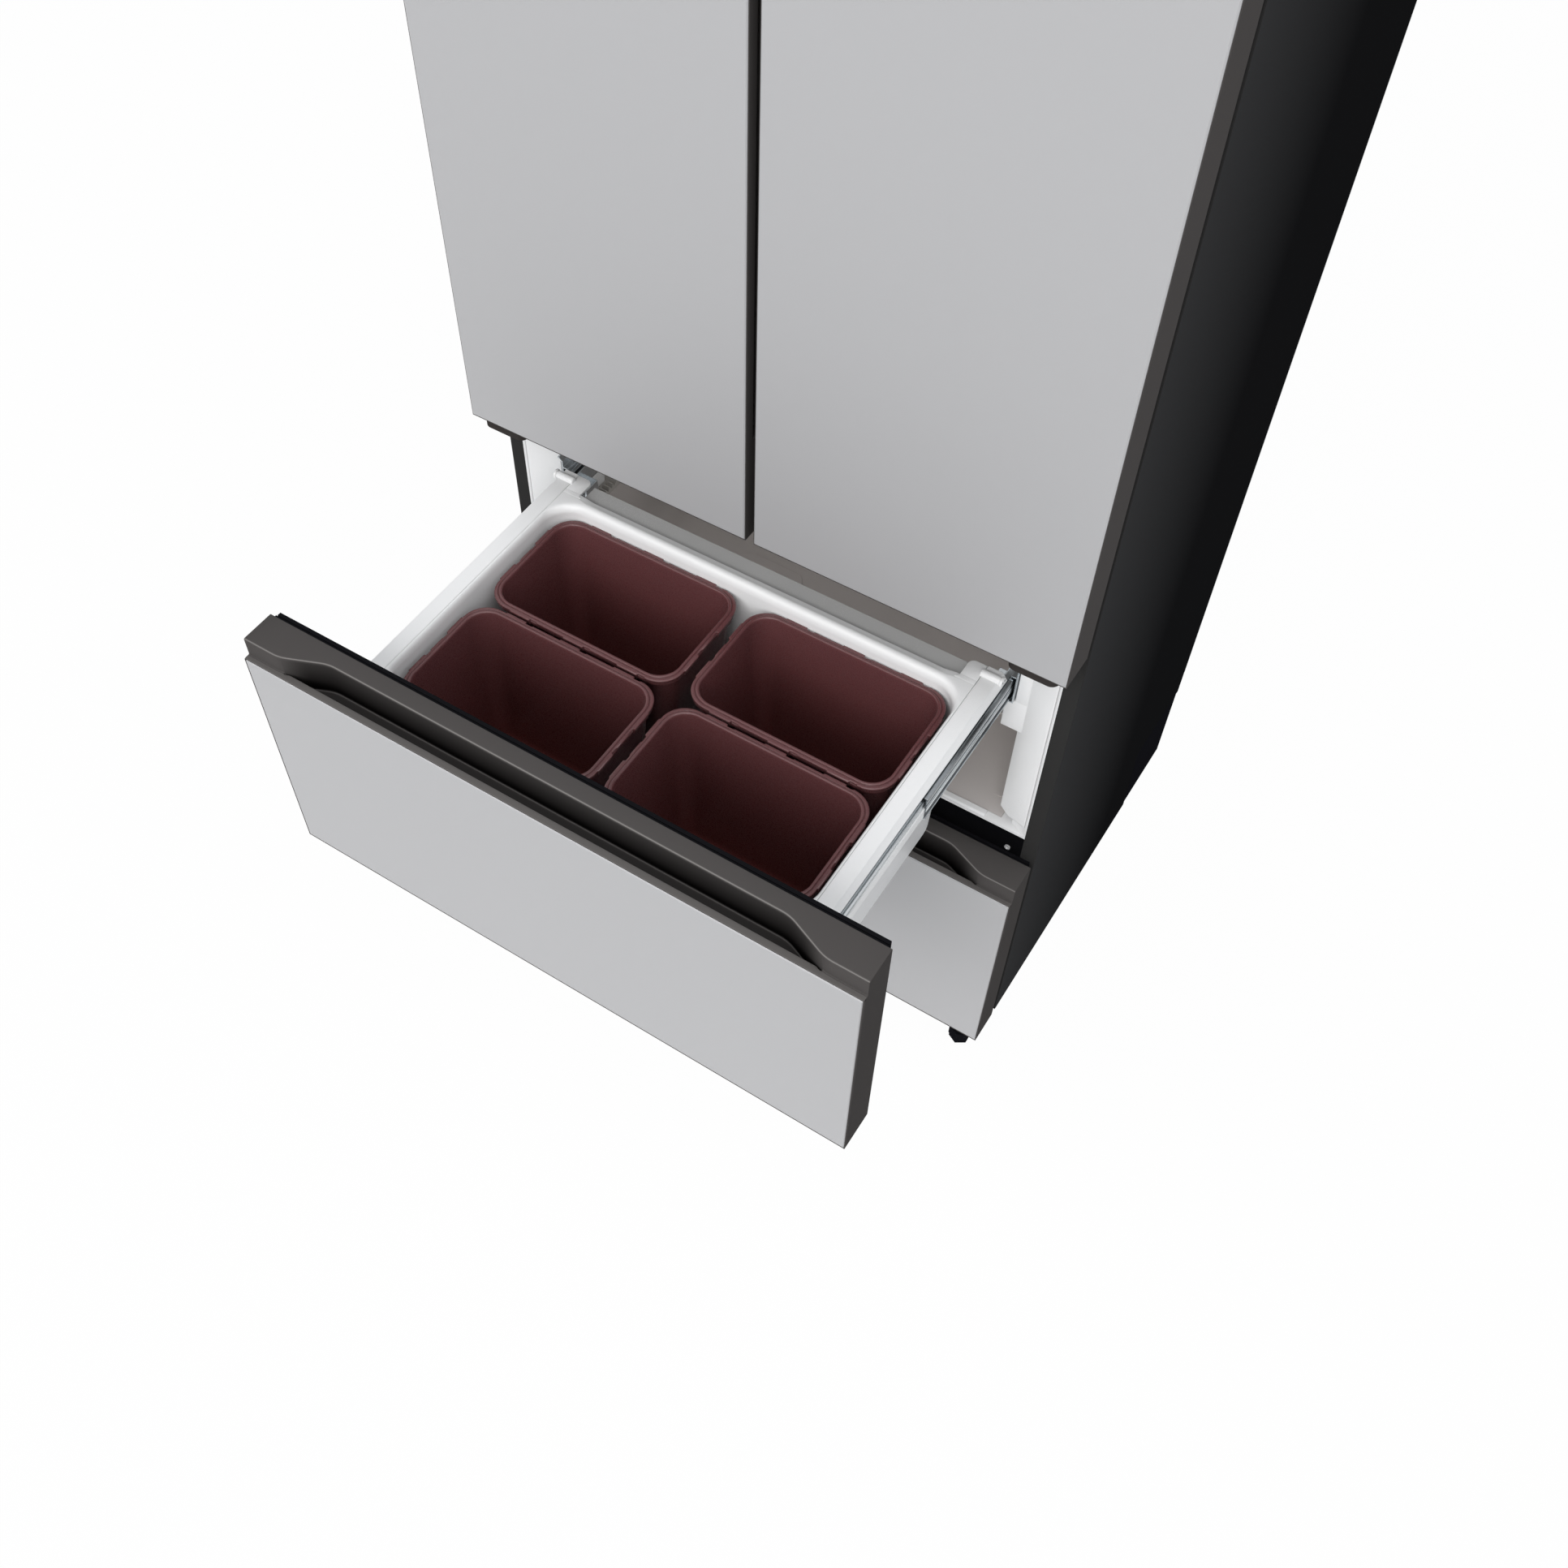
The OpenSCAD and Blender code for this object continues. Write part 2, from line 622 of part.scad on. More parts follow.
module upper_hinges() color([0.6, 0.61, 0.62]) both_sides() {
    along_z(top_plate_z, top_plate_z + top_plate_t) {
        translate([pin_x, pin_back]) circle(15);
        rect([pin_x - 15, pin_back], [pin_x + 15, hinge_back]);
        rect([pin_x - 60, case_y + 20], [pin_x + 15, hinge_back]);
    }
    block([pin_x - 60, case_y + 20, case_top], [pin_x + 15, hinge_back, top_plate_z]);
    translate([pin_x, pin_back, 0]) {
        rod_z(door_top - pin_len, top_plate_z, pin_d);
        rod_z(door_top + near, top_plate_z, pin_d + 8);
    }
}

module hinge_covers() color([0.14, 0.14, 0.145]) both_sides() difference() {
    along_z(case_top + near, cover_top) round_rect([pin_x - 66, 6], [pin_x + 20, hinge_back + 8], 12);
    along_z(case_top, cover_top - 2) round_rect([pin_x - 63.5, 4], [pin_x + 17.5, hinge_back + 5.5], 10);
    block([pin_x - 70, 0, case_top], [pin_x + 30, case_y + 8, top_plate_z - 1]);
}

// ---- upper room shelves -----------------------------------------------------------------------

module shelves(part) for (i = [1 : shelf_n])
    translate([0, 0, upper_z0 + i * shelf_step + near]) both_sides() {
    x0 = post_w / 2 + liner_t + room_gap;
    x1 = room_half - room_gap;
    if (part == "glass") block([x0, shelf_y0 + 12, 0], [x1, shelf_y1 - 10, shelf_t]);
    if (part == "trim") {
        difference() {
            block([x0, shelf_y0, 0], [x1, shelf_y0 + 20, shelf_t + 4]);
            block([x0 - 1, shelf_y0 + 12 - seam, -1], [x1 + 1, shelf_y0 + 21, shelf_t + seam]);
        }
        difference() {
            block([x0, shelf_y1 - 18, 0], [x1, shelf_y1, shelf_t + 12]);
            block([x0 - 1, shelf_y1 - 19, -1], [x1 + 1, shelf_y1 - 10 + seam, shelf_t + seam]);
            block([x0 - 1, shelf_y1 - 19, shelf_t + 3], [x1 + 1, shelf_y1 - 5, shelf_t + 13]);
        }
    }
}

module shelf_glasses() color([0.75, 0.85, 0.85]) shelves("glass");
module shelf_trims() color([0.8, 0.8, 0.8]) shelves("trim");

// ---- doors ------------------------------------------------------------------------------------

door_x0 = door_gap / 2;
seal_in = pin_in - 6.5;   // outer edge of the seal, near the hinge line so that it clears the case

// Right door; the left one is its mirror image
module door_panel() intersection() {
    along_z(door_z + 2, door_top - 2) chamfered(door_x0 + 1, hw - 1, 0, panel_t, 1.2);
    along_x(door_x0, hw) polygon([[1.2, door_z + 2], [panel_t, door_z + 2], [panel_t, door_top - 2],
        [1.2, door_top - 2], [0, door_top - 3.2], [0, door_z + 3.2]]);
}

module door_frame() difference() {
    union() {
        block([door_x0, panel_t, door_z], [hw, front_t, door_top]);
        // thin lips around the face panel
        block([door_x0, 1.6, door_z], [hw, panel_t, door_z + 1.8]);
        block([door_x0, 1.6, door_top - 1.8], [hw, panel_t, door_top]);
        block([door_x0, 1.6, door_z], [door_x0 + 0.8, panel_t, door_top]);
        block([hw - 0.8, 1.6, door_z], [hw, panel_t, door_top]);
    }
    // bores for the hinge pins
    translate([pin_x, pin_back, 0]) {
        rod_z(door_z - 1, door_z + pin_len + 1, pin_d + 2 * fit);
        rod_z(door_top - pin_len - 1, door_top + 1, pin_d + 2 * fit);
    }
    // grip let into the edge beside the other door
    along_z(grip_z0, grip_z1) polygon([[door_x0 - 1, 15], [door_x0 + 6, 15], [door_x0 + 12, 20],
        [door_x0 + 12, 34], [door_x0 + 6, 39], [door_x0 - 1, 39]]);
}

module door_liner() {
    block([door_x0 + 18, front_t, door_z + 20], [hw - seal_in - 18, front_t + 3, door_top - 20]);
    difference() {
        along_y(front_t + 3, dike_y) round_rect([dike_in, dike_z0], [dike_out, dike_z1], 14);
        along_y(front_t + 6, dike_y + 1)
            round_rect([dike_in + dike_t, dike_z0 + dike_t], [dike_out - dike_t, dike_z1 - dike_t], 6);
    }
}

// Seal: a clip strip, a fold and a magnetic bellows that meets the case, set in from the strip
module seal(low, high, set_in) {
    along_y(front_t, front_t + 2.8) ring(low, high, 17);
    along_y(front_t + 2.8, front_t + 4) ring(low + [3, 3], high - [3, 3], 9);
    along_y(front_t + 4, case_y - near) ring(low + [set_in, set_in], high - [set_in, set_in], 13.5 - set_in);
}

module door_seal() difference() {
    seal([door_x0 + 1.5, door_z + 3], [hw - seal_in, door_top - 6], 2.5);
    block([door_x0 + 17.8, front_t - 1, door_z + 19.8], [hw - seal_in - 17.8, case_y, door_top - 19.8]);
}

module door_bins() {
    x0 = dike_in + dike_t + seam;
    x1 = dike_out - dike_t - seam;
    span = dike_z1 - dike_z0 - 2 * dike_t;
    for (i = [0 : bin_n - 1]) translate([0, 0, dike_z0 + dike_t + 14 + i * span / bin_n]) difference() {
        along_z(0, door_bin_h) round_rect([x0, front_t + 6 + near], [x1, door_bin_y], 12);
        along_z(2.5, door_bin_h + 1) round_rect([x0 + 2.5, front_t + 9], [x1 - 2.5, door_bin_y - 2.5], 10);
    }
}

// ---- drawer fronts ----------------------------------------------------------------------------
// y runs back from the closed face, z down from the top of the front

// Finger cut seen from above: straight in the middle, with an S-curve out to each end.
// Each S is two arcs joined by the short straight line that touches both.
curve_h = handle_mid - handle_end;
arc_r = 48;
arc_in = [grip_half, handle_mid - arc_r];
arc_out = [grip_half + curve_len, handle_end + arc_r];
arc_turn = atan2(curve_len, 2 * arc_r - curve_h) - acos(2 * arc_r / norm([curve_len, 2 * arc_r - curve_h]));
join_in = arc_in + arc_r * [sin(arc_turn), cos(arc_turn)];
join_out = arc_out - arc_r * [sin(arc_turn), cos(arc_turn)];
module finger_cut() {
    rect([-grip_half, -5], [grip_half, handle_mid]);
    both_sides() {
        intersection() {
            translate(arc_in) circle(arc_r, $fn = 180);
            rect([grip_half, -5], [join_in.x, handle_mid]);
        }
        polygon([[join_in.x, -5], [join_out.x, -5], join_out, join_in]);
        difference() {
            rect([join_out.x, -5], [arc_out.x, handle_mid]);
            translate(arc_out) circle(arc_r, $fn = 180);
        }
    }
}

cap_t = 2.3;         // dark cap over the top edge of the face panel

module front_panel(h) intersection() {
    along_z(-h + 2, -handle_h - cap_t - seam) chamfered(-hw + 1, hw - 1, 0, panel_t, 1.2);
    along_x(-hw, hw) polygon([[1.2, -h + 2], [panel_t, -h + 2], [panel_t, -handle_h - cap_t - seam],
        [1.2, -handle_h - cap_t - seam], [0, -handle_h - cap_t - seam - 1.2], [0, -h + 3.2]]);
}

module front_frame(h) difference() {
    union() {
        block([-hw, panel_t, -h], [hw, front_t, -handle_h]);
        block([-hw, 1.2, -handle_h - cap_t], [hw, handle_end + 1, -handle_h]);
        block([-hw, 1.6, -h], [hw, panel_t, -h + 1.8]);
        both_sides() block([hw - 0.8, 1.6, -h], [hw, panel_t, -handle_h]);
        along_z(-handle_h, 0) difference() {
            rect([-hw, handle_end], [hw, front_t]);
            finger_cut();
        }
    }
    // pocket behind the ledge
    along_z(-handle_h - pocket_depth, -handle_h + 1) intersection() {
        finger_cut();
        rect([-hw, handle_end + 1.5], [hw, front_t]);
    }
}

module inner_cover(h) {
    block([-hw + 24, front_t, -h + 24], [hw - 24, front_t + 3, -24]);
    along_y(front_t + 3, case_y + 5)
        round_rect([-room_half + 10, -h + 38], [room_half - 10, -34], 16);
}

module front_seal(h) difference() {
    seal([-hw + 5, -h + 3.5], [hw - 5, -2], 0.8);
    block([-hw + 23.8, front_t - 1, -h + 23.8], [hw - 23.8, case_y, -23.8]);
}

// ---- drawer bins ------------------------------------------------------------------------------

module bin(depth) difference() {
    union() {
        drafted([-bin_half - bin_t, bin_y0 - bin_t], [bin_half + bin_t, bin_y1 + bin_t], 38 + bin_t,
            -rim_drop - depth - bin_t, -rim_drop - 3, bin_taper);
        // flange that hangs on the side frames, and its level part around the corners of the tub
        block([-frame_x, bin_y0 - bin_t, -rim_drop - 6], [frame_x, bin_y1 + bin_t, -rim_drop - 3]);
        block([-bin_half + seam, bin_y0 - bin_t, -rim_drop - 4], [bin_half - seam, ear_y0 - seam, -rim_drop]);
        // rear flange, which falls away behind its ridge and turns down at the end
        along_x(-ear_x + seam, ear_x - seam) polygon([[bin_y1, -rim_drop - 6], [bin_y1, -rim_drop],
            [bin_y1 + 7, -rim_drop], [bin_y1 + 10, -rim_drop - 1.5], [flange_y, -rim_drop - 3.5],
            [flange_y, -rim_drop - 9.2], [flange_y - 3, -rim_drop - 9.2], [flange_y - 3, -rim_drop - 6]]);
    }
    along_x(-ear_x + seam, ear_x - seam) polygon([[bin_y1 + 7, -rim_drop], [bin_y1 + 10, -rim_drop - 1.5],
        [flange_y, -rim_drop - 3.5], [flange_y + 1, -rim_drop + 1], [bin_y1 + 7, -rim_drop + 1]]);
    drafted([-bin_half, bin_y0], [bin_half, bin_y1], 38, -rim_drop - depth, -rim_drop - 3, bin_taper);
    along_z(-rim_drop - 3.5, -rim_drop + 1) round_rect([-bin_half, bin_y0], [bin_half, bin_y1], 38, $fn = 32);
}

// Side frame: top cover, web that carries the slide, bottom flange, and the ear at the rear
module side_frame() {
    z = -rim_drop;
    zb = -slide_drop - slide_h / 2 - 7;
    along_y(case_y + 5, ear_y1) polygon([[bin_half, z], [cover_x - 11, z], [cover_x, z - 9],
        [cover_x, z - 9.8], [cover_x - 2.2, z - 9.8], [cover_x - 11.9, z - 3],
        [frame_x + frame_t, z - 3], [frame_x + frame_t, zb + 2], [frame_x + 8, zb + 2],
        [frame_x + 8, zb], [frame_x, zb], [frame_x, z - 3], [bin_half, z - 3]]);
    // foot under the drawer member, turned up into a strip that hides its lower half
    along_y(case_y + 5, ear_y1) translate([rail_x, -slide_drop]) {
        rect([0, -inner_h / 2 - 1.3], [10.5, -inner_h / 2]);
        rect([8.2, -mid_slide_h / 2 + slide_t + 0.5], [12.5, 1]);
    }
    // ear
    along_z(z - 3, z) {
        rect([ear_x + ear_r, ear_y0], [cover_x - 11, ear_y1]);
        rect([ear_x, ear_y0], [cover_x - 11, ear_y1 - ear_r]);
        translate([ear_x + ear_r, ear_y1 - ear_r]) circle(ear_r);
    }
    // barrel and end cap moulded on the ear
    translate([0, ear_y0 + 17, z]) difference() {
        union() {
            rod_x(cover_x - 33, cover_x - 3.5, barrel_d);
            rod_x(cover_x - 3.5, cover_x - 1, barrel_d + 2);
        }
        for (s = [-1, 1]) translate([0, s * 2.6, 2.4]) rod_x(cover_x - 2.5, cover_x, 2);
    }
}

// Formed channel: web against x, flanges reaching inwards or outwards
module channel(x_web, x_tip, h, t, y0, y1) {
    dir = x_tip > x_web ? 1 : -1;
    along_y(y0, y1) {
        rect([min(x_web, x_web + dir * t), -h / 2], [max(x_web, x_web + dir * t), h / 2]);
        for (s = [-1, 1]) translate([0, s * (h - t) / 2])
            rect([min(x_web, x_tip), -t / 2], [max(x_web, x_tip), t / 2]);
        for (s = [-1, 1]) translate([0, s * (h / 2 - t - 0.4)])
            rect([min(x_tip, x_tip - dir * t), -1], [max(x_tip, x_tip - dir * t), 1]);
    }
}

module at_slide() translate([0, 0, -slide_drop]) children();

// Drawer member, fixed to the side frame, with the bracket that carries the sync shaft
module drawer_slide() at_slide() {
    channel(rail_x, rail_x + inner_w, inner_h, slide_t, slide_y0 + 4, slide_y1);
    block([rail_x + inner_w, slide_y0 + 4, 2], [rail_x + inner_w + 2.5, ear_y1, inner_h / 2 - 1]);
    bearing_z = slide_drop - pinion_drop;
    difference() {
        union() {
            block([gear_x0 - 6, pinion_y - 12, bearing_z - 9], [gear_x0 - 3, pinion_y + 12, -inner_h / 2 + 8]);
            block([gear_x0 - 6, pinion_y - 12, -inner_h / 2 + 4], [rail_x, pinion_y + 12, -inner_h / 2 + 8]);
        }
        translate([0, pinion_y, bearing_z]) rod_x(gear_x0 - 7, gear_x0, shaft_d + 2 * fit);
    }
}

// Middle member, with the ball cage that the drawer member runs on
module middle_slide() at_slide() {
    channel(mid_x1, mid_x1 - mid_w, mid_slide_h, slide_t, slide_y0 + 6, slide_y1 - 4);
    cage = (mid_slide_h - inner_h) / 2 - slide_t - near;
    translate([0, 0, mid_slide_h / 2 - slide_t - cage / 2])
        block([rail_x + 5, slide_y1 - 260, -cage / 2], [rail_x + inner_w, slide_y1 - 10, cage / 2]);
}

// Fixed member, with its ball cage, standoffs to the wall and the bent tab at its front
module fixed_slide() at_slide() {
    channel(outer_x1, outer_x1 - outer_w, slide_h, slide_t, slide_y0, slide_y1);
    cage = (slide_h - mid_slide_h) / 2 - slide_t - near;
    for (s = [-1, 1]) translate([0, 0, s * (slide_h / 2 - slide_t - cage / 2)])
        block([outer_x1 - 7, slide_y0 + 8, -cage / 2], [mid_x1, slide_y0 + 240, cage / 2]);
    for (y = [slide_y0 + 24, (slide_y0 + slide_y1) / 2, slide_y1 - 40])
        block([outer_x1, y, -8], [room_half, y + 20, 8]);
    // sheet bent outwards over the front end
    along_y(slide_y0, slide_y0 + 22) polygon([[outer_x1 - slide_t, slide_h / 2 - 2],
        [outer_x1 - slide_t, slide_h / 2 + 9], [outer_x1 + 4, slide_h / 2 + 14],
        [outer_x1 + 6, slide_h / 2 + 14],
        [outer_x1 + 6, slide_h / 2 + 12.5], [outer_x1 + 4.5, slide_h / 2 + 12.5], [outer_x1, slide_h / 2 + 8.5],
        [outer_x1, slide_h / 2 - 2]]);
}

// ---- rack and pinion ----------------------------------------------------------------------------

// One straight-sided tooth of the rack, thinned for backlash; y along the rack, z up
pressure = 25;
rack_flank = tan(pressure) * tooth_m;
module rack_tooth(y) polygon([
    [y - pitch / 4 - rack_flank + backlash / 2, -tooth_m - rack_root],
    [y - pitch / 4 + rack_flank + backlash / 2, tooth_m],
    [y + pitch / 4 - rack_flank - backlash / 2, tooth_m],
    [y + pitch / 4 + rack_flank - backlash / 2, -tooth_m - rack_root]]);

// Rack under each side, teeth up; a tooth gap lies under the shaft at rest
module rack(open) {
    shaft_y = pinion_y - open;
    y_first = shaft_y + pitch / 2 - pitch * floor((shaft_y - rack_y0 - pitch) / pitch);
    n = floor((rack_y1 - y_first) / pitch);
    along_x(gear_x0, gear_x1) {
        for (i = [0 : n]) translate([0, -pinion_drop - pinion_r]) rack_tooth(y_first + i * pitch);
        rect([rack_y0, rack_top - rack_base_t], [rack_y1, rack_top + 0.01]);
    }
    // shelf that ties the rack to the wall of the room
    block([gear_x1 - 1, rack_y0, rack_top - rack_base_t], [room_half, rack_y1, rack_top - 2]);
}

// Involute of the pinion, as points from the base circle to the tip
base_r = pinion_r * cos(pressure);
function inv_angle(r) = let (a = acos(base_r / r)) tan(a) * 180 / PI - a;
half_tooth = 90 / pinion_teeth - backlash / 4 / pinion_r * 180 / PI;
flank_n = 6;
root_r = pinion_r - tooth_m * 1.2;
tip_r = pinion_r + tooth_m - near;
flank_r = [for (i = [0 : flank_n]) base_r + 0.01 + (tip_r - base_r - 0.01) * i / flank_n];
flank_a = [for (r = flank_r) half_tooth + inv_angle(pinion_r) - inv_angle(r)];

module pinion_outline() {
    circle(root_r);
    for (i = [0 : pinion_teeth - 1]) rotate(i * 360 / pinion_teeth) polygon(concat(
        [[(root_r - 1) * cos(flank_a[0]), -(root_r - 1) * sin(flank_a[0])]],
        [for (k = [0 : flank_n]) flank_r[k] * [cos(flank_a[k]), -sin(flank_a[k])]],
        [for (k = [flank_n : -1 : 0]) flank_r[k] * [cos(flank_a[k]), sin(flank_a[k])]],
        [[(root_r - 1) * cos(flank_a[0]), (root_r - 1) * sin(flank_a[0])]]));
}

// Shaft across the rear of the drawer with a pinion at each end, one tooth pointing down
module sync_shaft() translate([0, pinion_y, -pinion_drop]) {
    rod_x(-gear_x1, gear_x1, shaft_d);
    both_sides() along_x(gear_x0, gear_x1) rotate(-90) pinion_outline();
    both_sides() rod_x(gear_x0 - 3 + near, gear_x0, shaft_d + 6);
}

// ---- containers -----------------------------------------------------------------------------------

// Container standing on z = 0, centred, without its lid
module container(h) {
    inset = rim_w - 1;
    difference() {
        union() {
            drafted([-cont_w / 2 + inset, -cont_d / 2 + inset], [cont_w / 2 - inset, cont_d / 2 - inset],
                cont_r - inset * 0.6, 0, h - 2, draft * h);
            // rolled rim: a flat crown with a turned-down skirt
            along_z(h - 3, h) container_rect(0);
            along_z(h - rim_h, h) container_rect(1.2);
            rim_lugs(h);
        }
        drafted([-cont_w / 2 + inset + cont_t, -cont_d / 2 + inset + cont_t],
            [cont_w / 2 - inset - cont_t, cont_d / 2 - inset - cont_t],
            cont_r - (inset + cont_t) * 0.6, cont_t, h + 1, draft * h);
        rim_notches(h);
        // hollow under the rolled rim
        along_z(h - rim_h - 1, h - 3) difference() {
            container_rect(2.6);
            container_rect(inset - 0.2);
        }
    }
}

module container_rect(inset) round_rect([-cont_w / 2 + inset, -cont_d / 2 + inset],
    [cont_w / 2 - inset, cont_d / 2 - inset], cont_r - inset * 0.6);

// Slots through the skirt of the rim, one beside each lug
module rim_notches(h) for (s = [-1, 1]) {
    for (x = [-cont_w * 0.3, 0, cont_w * 0.3]) translate([x + lug_l / 2 + 1, s * cont_d / 2, h - rim_h - 1])
        block([0, -3, 0], [12, 3, rim_h - 3]);
    for (y = [-cont_d * 0.2, cont_d * 0.2]) translate([s * cont_w / 2, y - lug_l / 2 - 11, h - rim_h - 1])
        block([-3, 0, 0], [3, 10, rim_h - 3]);
}

// Latch lugs on the rim: three along each long side, two along each short side
module rim_lugs(h) {
    for (s = [-1, 1]) {
        for (x = [-cont_w * 0.3, 0, cont_w * 0.3]) translate([x, s * cont_d / 2, 0])
            block([-lug_l / 2, -2, h - rim_h], [lug_l / 2, 2, h - 2]);
        for (y = [-cont_d * 0.2, cont_d * 0.2]) translate([s * cont_w / 2 + s, y, 0])
            block([-3, -lug_l / 2, h - rim_h], [3, lug_l / 2, h - 2]);
    }
}

// Place of a container in its drawer: column -1 or 1, row 0 in front or 1 behind
module place_container(col, row, depth, h) translate([col * (cont_w + cont_gap_x) / 2,
    cont_y0 + cont_d / 2 + row * (cont_d + cont_gap_y), -rim_drop - depth + near]) container(h);

// ---- nodes ------------------------------------------------------------------------------------------

silver = [0.73, 0.735, 0.745];
charcoal = [0.235, 0.22, 0.21];
white = [0.93, 0.93, 0.925];
steel = [0.62, 0.65, 0.68];
plum = [0.3, 0.17, 0.18];
black = [0.05, 0.05, 0.055];

module left_door_panel() color(silver) mirror([1, 0, 0]) door_panel();
module left_door_frame() color(charcoal) mirror([1, 0, 0]) door_frame();
module left_door_liner() color(white) mirror([1, 0, 0]) door_liner();
module left_door_seal() color(black) mirror([1, 0, 0]) door_seal();
module left_door_bins() color([0.85, 0.87, 0.88]) mirror([1, 0, 0]) door_bins();
module right_door_panel() color(silver) door_panel();
module right_door_frame() color(charcoal) door_frame();
module right_door_liner() color(white) door_liner();
module right_door_seal() color(black) door_seal();
module right_door_bins() color([0.85, 0.87, 0.88]) door_bins();

module middle_panel() color(silver) middle() front_panel(mid_front_h);
module middle_front_frame() color(charcoal) middle() front_frame(mid_front_h);
module middle_inner_cover() color(white) middle() inner_cover(mid_front_h);
module middle_seal() color(black) middle() front_seal(mid_front_h);
module middle_bin() color(white) middle() bin(bin_depth);
module middle_side_frames() color(white) middle() both_sides() side_frame();
module middle_rear_strip() color([0.6, 0.62, 0.6]) middle()
    block([-ear_x + 2, flange_y - 8, -rim_drop - 11.2], [ear_x - 2, ear_y1, -rim_drop - 9.2]);
module middle_drawer_slides() color(steel) middle() both_sides() drawer_slide();
module middle_slides() color(steel) in_drawer(mid_top, middle_open / 2) both_sides() middle_slide();
module middle_sync_shaft() color([0.7, 0.7, 0.68]) middle() sync_shaft();
module container_front_left() color(plum) middle() place_container(-1, 0, bin_depth, cont_h);
module container_front_right() color(plum) middle() place_container(1, 0, bin_depth, cont_h);
module container_rear_left() color(plum) middle() place_container(-1, 1, bin_depth, cont_h);
module container_rear_right() color(plum) middle() place_container(1, 1, bin_depth, cont_h);

module lower_panel() color(silver) lower() front_panel(low_front_h);
module lower_front_frame() color(charcoal) lower() front_frame(low_front_h);
module lower_inner_cover() color(white) lower() inner_cover(low_front_h);
module lower_seal() color(black) lower() front_seal(low_front_h);
module lower_bin() color(white) lower() { bin(low_bin_depth); both_sides() side_frame(); }
module lower_drawer_slides() color(steel) lower() both_sides() drawer_slide();
module lower_slides() color(steel) lower() both_sides() middle_slide();
module lower_sync_shaft() color([0.7, 0.7, 0.68]) lower() sync_shaft();
module lower_containers() color(plum) lower()
    for (c = [-1, 1], r = [0, 1]) place_container(c, r, low_bin_depth, low_cont_h);

module fixed_slides() color(steel) {
    in_drawer(mid_top, 0) both_sides() fixed_slide();
    in_drawer(low_top, 0) both_sides() fixed_slide();
}

module drawer_racks() color([0.5, 0.49, 0.46]) {
    in_drawer(mid_top, 0) both_sides() rack(middle_open);
    in_drawer(low_top, 0) both_sides() rack(0);
}

// Bright screws in the rail between the drawers and through the hinge brackets
module case_screws() color([0.8, 0.81, 0.82]) {
    both_sides() translate([hw - 39, case_y, rail1_z + 19]) screw_head();
    both_sides() for (x = [hw - 80, hw - 50]) translate([x, case_y - 2, mid_top + 2.7]) screw_head(4);
}

module screw_head(d = 8) rotate([90, 0, 0]) difference() {
    cylinder(d = d, h = d / 4);
    translate([0, 0, d / 8]) for (a = [0, 90]) rotate(a)
        translate([-d / 3, -d / 12, 0]) cube([d / 1.5, d / 6, d]);
}

// Levelling foot: pad, hexagon to turn it by, threaded stem and lock nut
module foot(side) right_side(side) translate([foot_x, foot_y, 0]) {
    rod_z(0, pad_h, foot_d);
    translate([0, 0, pad_h]) cylinder(d = hex_d, h = 20, $fn = 6);
    rod_z(pad_h, low_front_z - 2, stem_d);
    // lock nut under the arm
    translate([0, 0, arm_z - near - nut_h]) cylinder(d = 20, h = nut_h, $fn = 6);
}

module left_foot() color(black) foot(-1);
module right_foot() color(black) foot(1);

module roller(side) right_side(side) translate([roller_x, roller_y, roller_d / 2]) difference() {
    union() {
        rod_x(-roller_w / 2 + 2, roller_w / 2 - 2, roller_d);
        rod_x(-roller_w / 2, roller_w / 2, roller_d - 6);
    }
    rod_x(-roller_w, roller_w, axle_d + 2 * fit);
}

module left_roller() color([0.13, 0.13, 0.135]) roller(-1);
module right_roller() color([0.13, 0.13, 0.135]) roller(1);

module in_row() translate([0, row_y, 0]) children();

in_row() outer_case();
in_row() back_panel();
in_row() base_pan();
in_row() front_rails();
in_row() upper_liners();
in_row() middle_liner();
in_row() middle_cold_box();
in_row() lower_liner();
in_row() foam_insulation();
in_row() compressor();
in_row() condenser_coil();
in_row() fan_shroud();
in_row() drain_tray();
in_row() machine_cover();
in_row() lower_hinges();
in_row() upper_hinges();
in_row() hinge_covers();
in_row() shelf_glasses();
in_row() shelf_trims();
in_row() fixed_slides();
in_row() drawer_racks();
in_row() case_screws();
in_row() left_foot();
in_row() right_foot();
in_row() left_roller();
in_row() right_roller();
in_row() condenser_fan();
in_row() left_door_panel();
in_row() left_door_frame();
in_row() left_door_liner();
in_row() left_door_seal();
in_row() left_door_bins();
in_row() right_door_panel();
in_row() right_door_frame();
in_row() right_door_liner();
in_row() right_door_seal();
in_row() right_door_bins();
in_row() middle_panel();
in_row() middle_front_frame();
in_row() middle_inner_cover();
in_row() middle_seal();
in_row() middle_bin();
in_row() middle_side_frames();
in_row() middle_rear_strip();
in_row() middle_drawer_slides();
in_row() middle_slides();
in_row() middle_sync_shaft();
in_row() container_front_left();
in_row() container_front_right();
in_row() container_rear_left();
in_row() container_rear_right();
in_row() lower_panel();
in_row() lower_front_frame();
in_row() lower_inner_cover();
in_row() lower_seal();
in_row() lower_bin();
in_row() lower_drawer_slides();
in_row() lower_slides();
in_row() lower_sync_shaft();
in_row() lower_containers();
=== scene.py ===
import json
import math
from collections import namedtuple

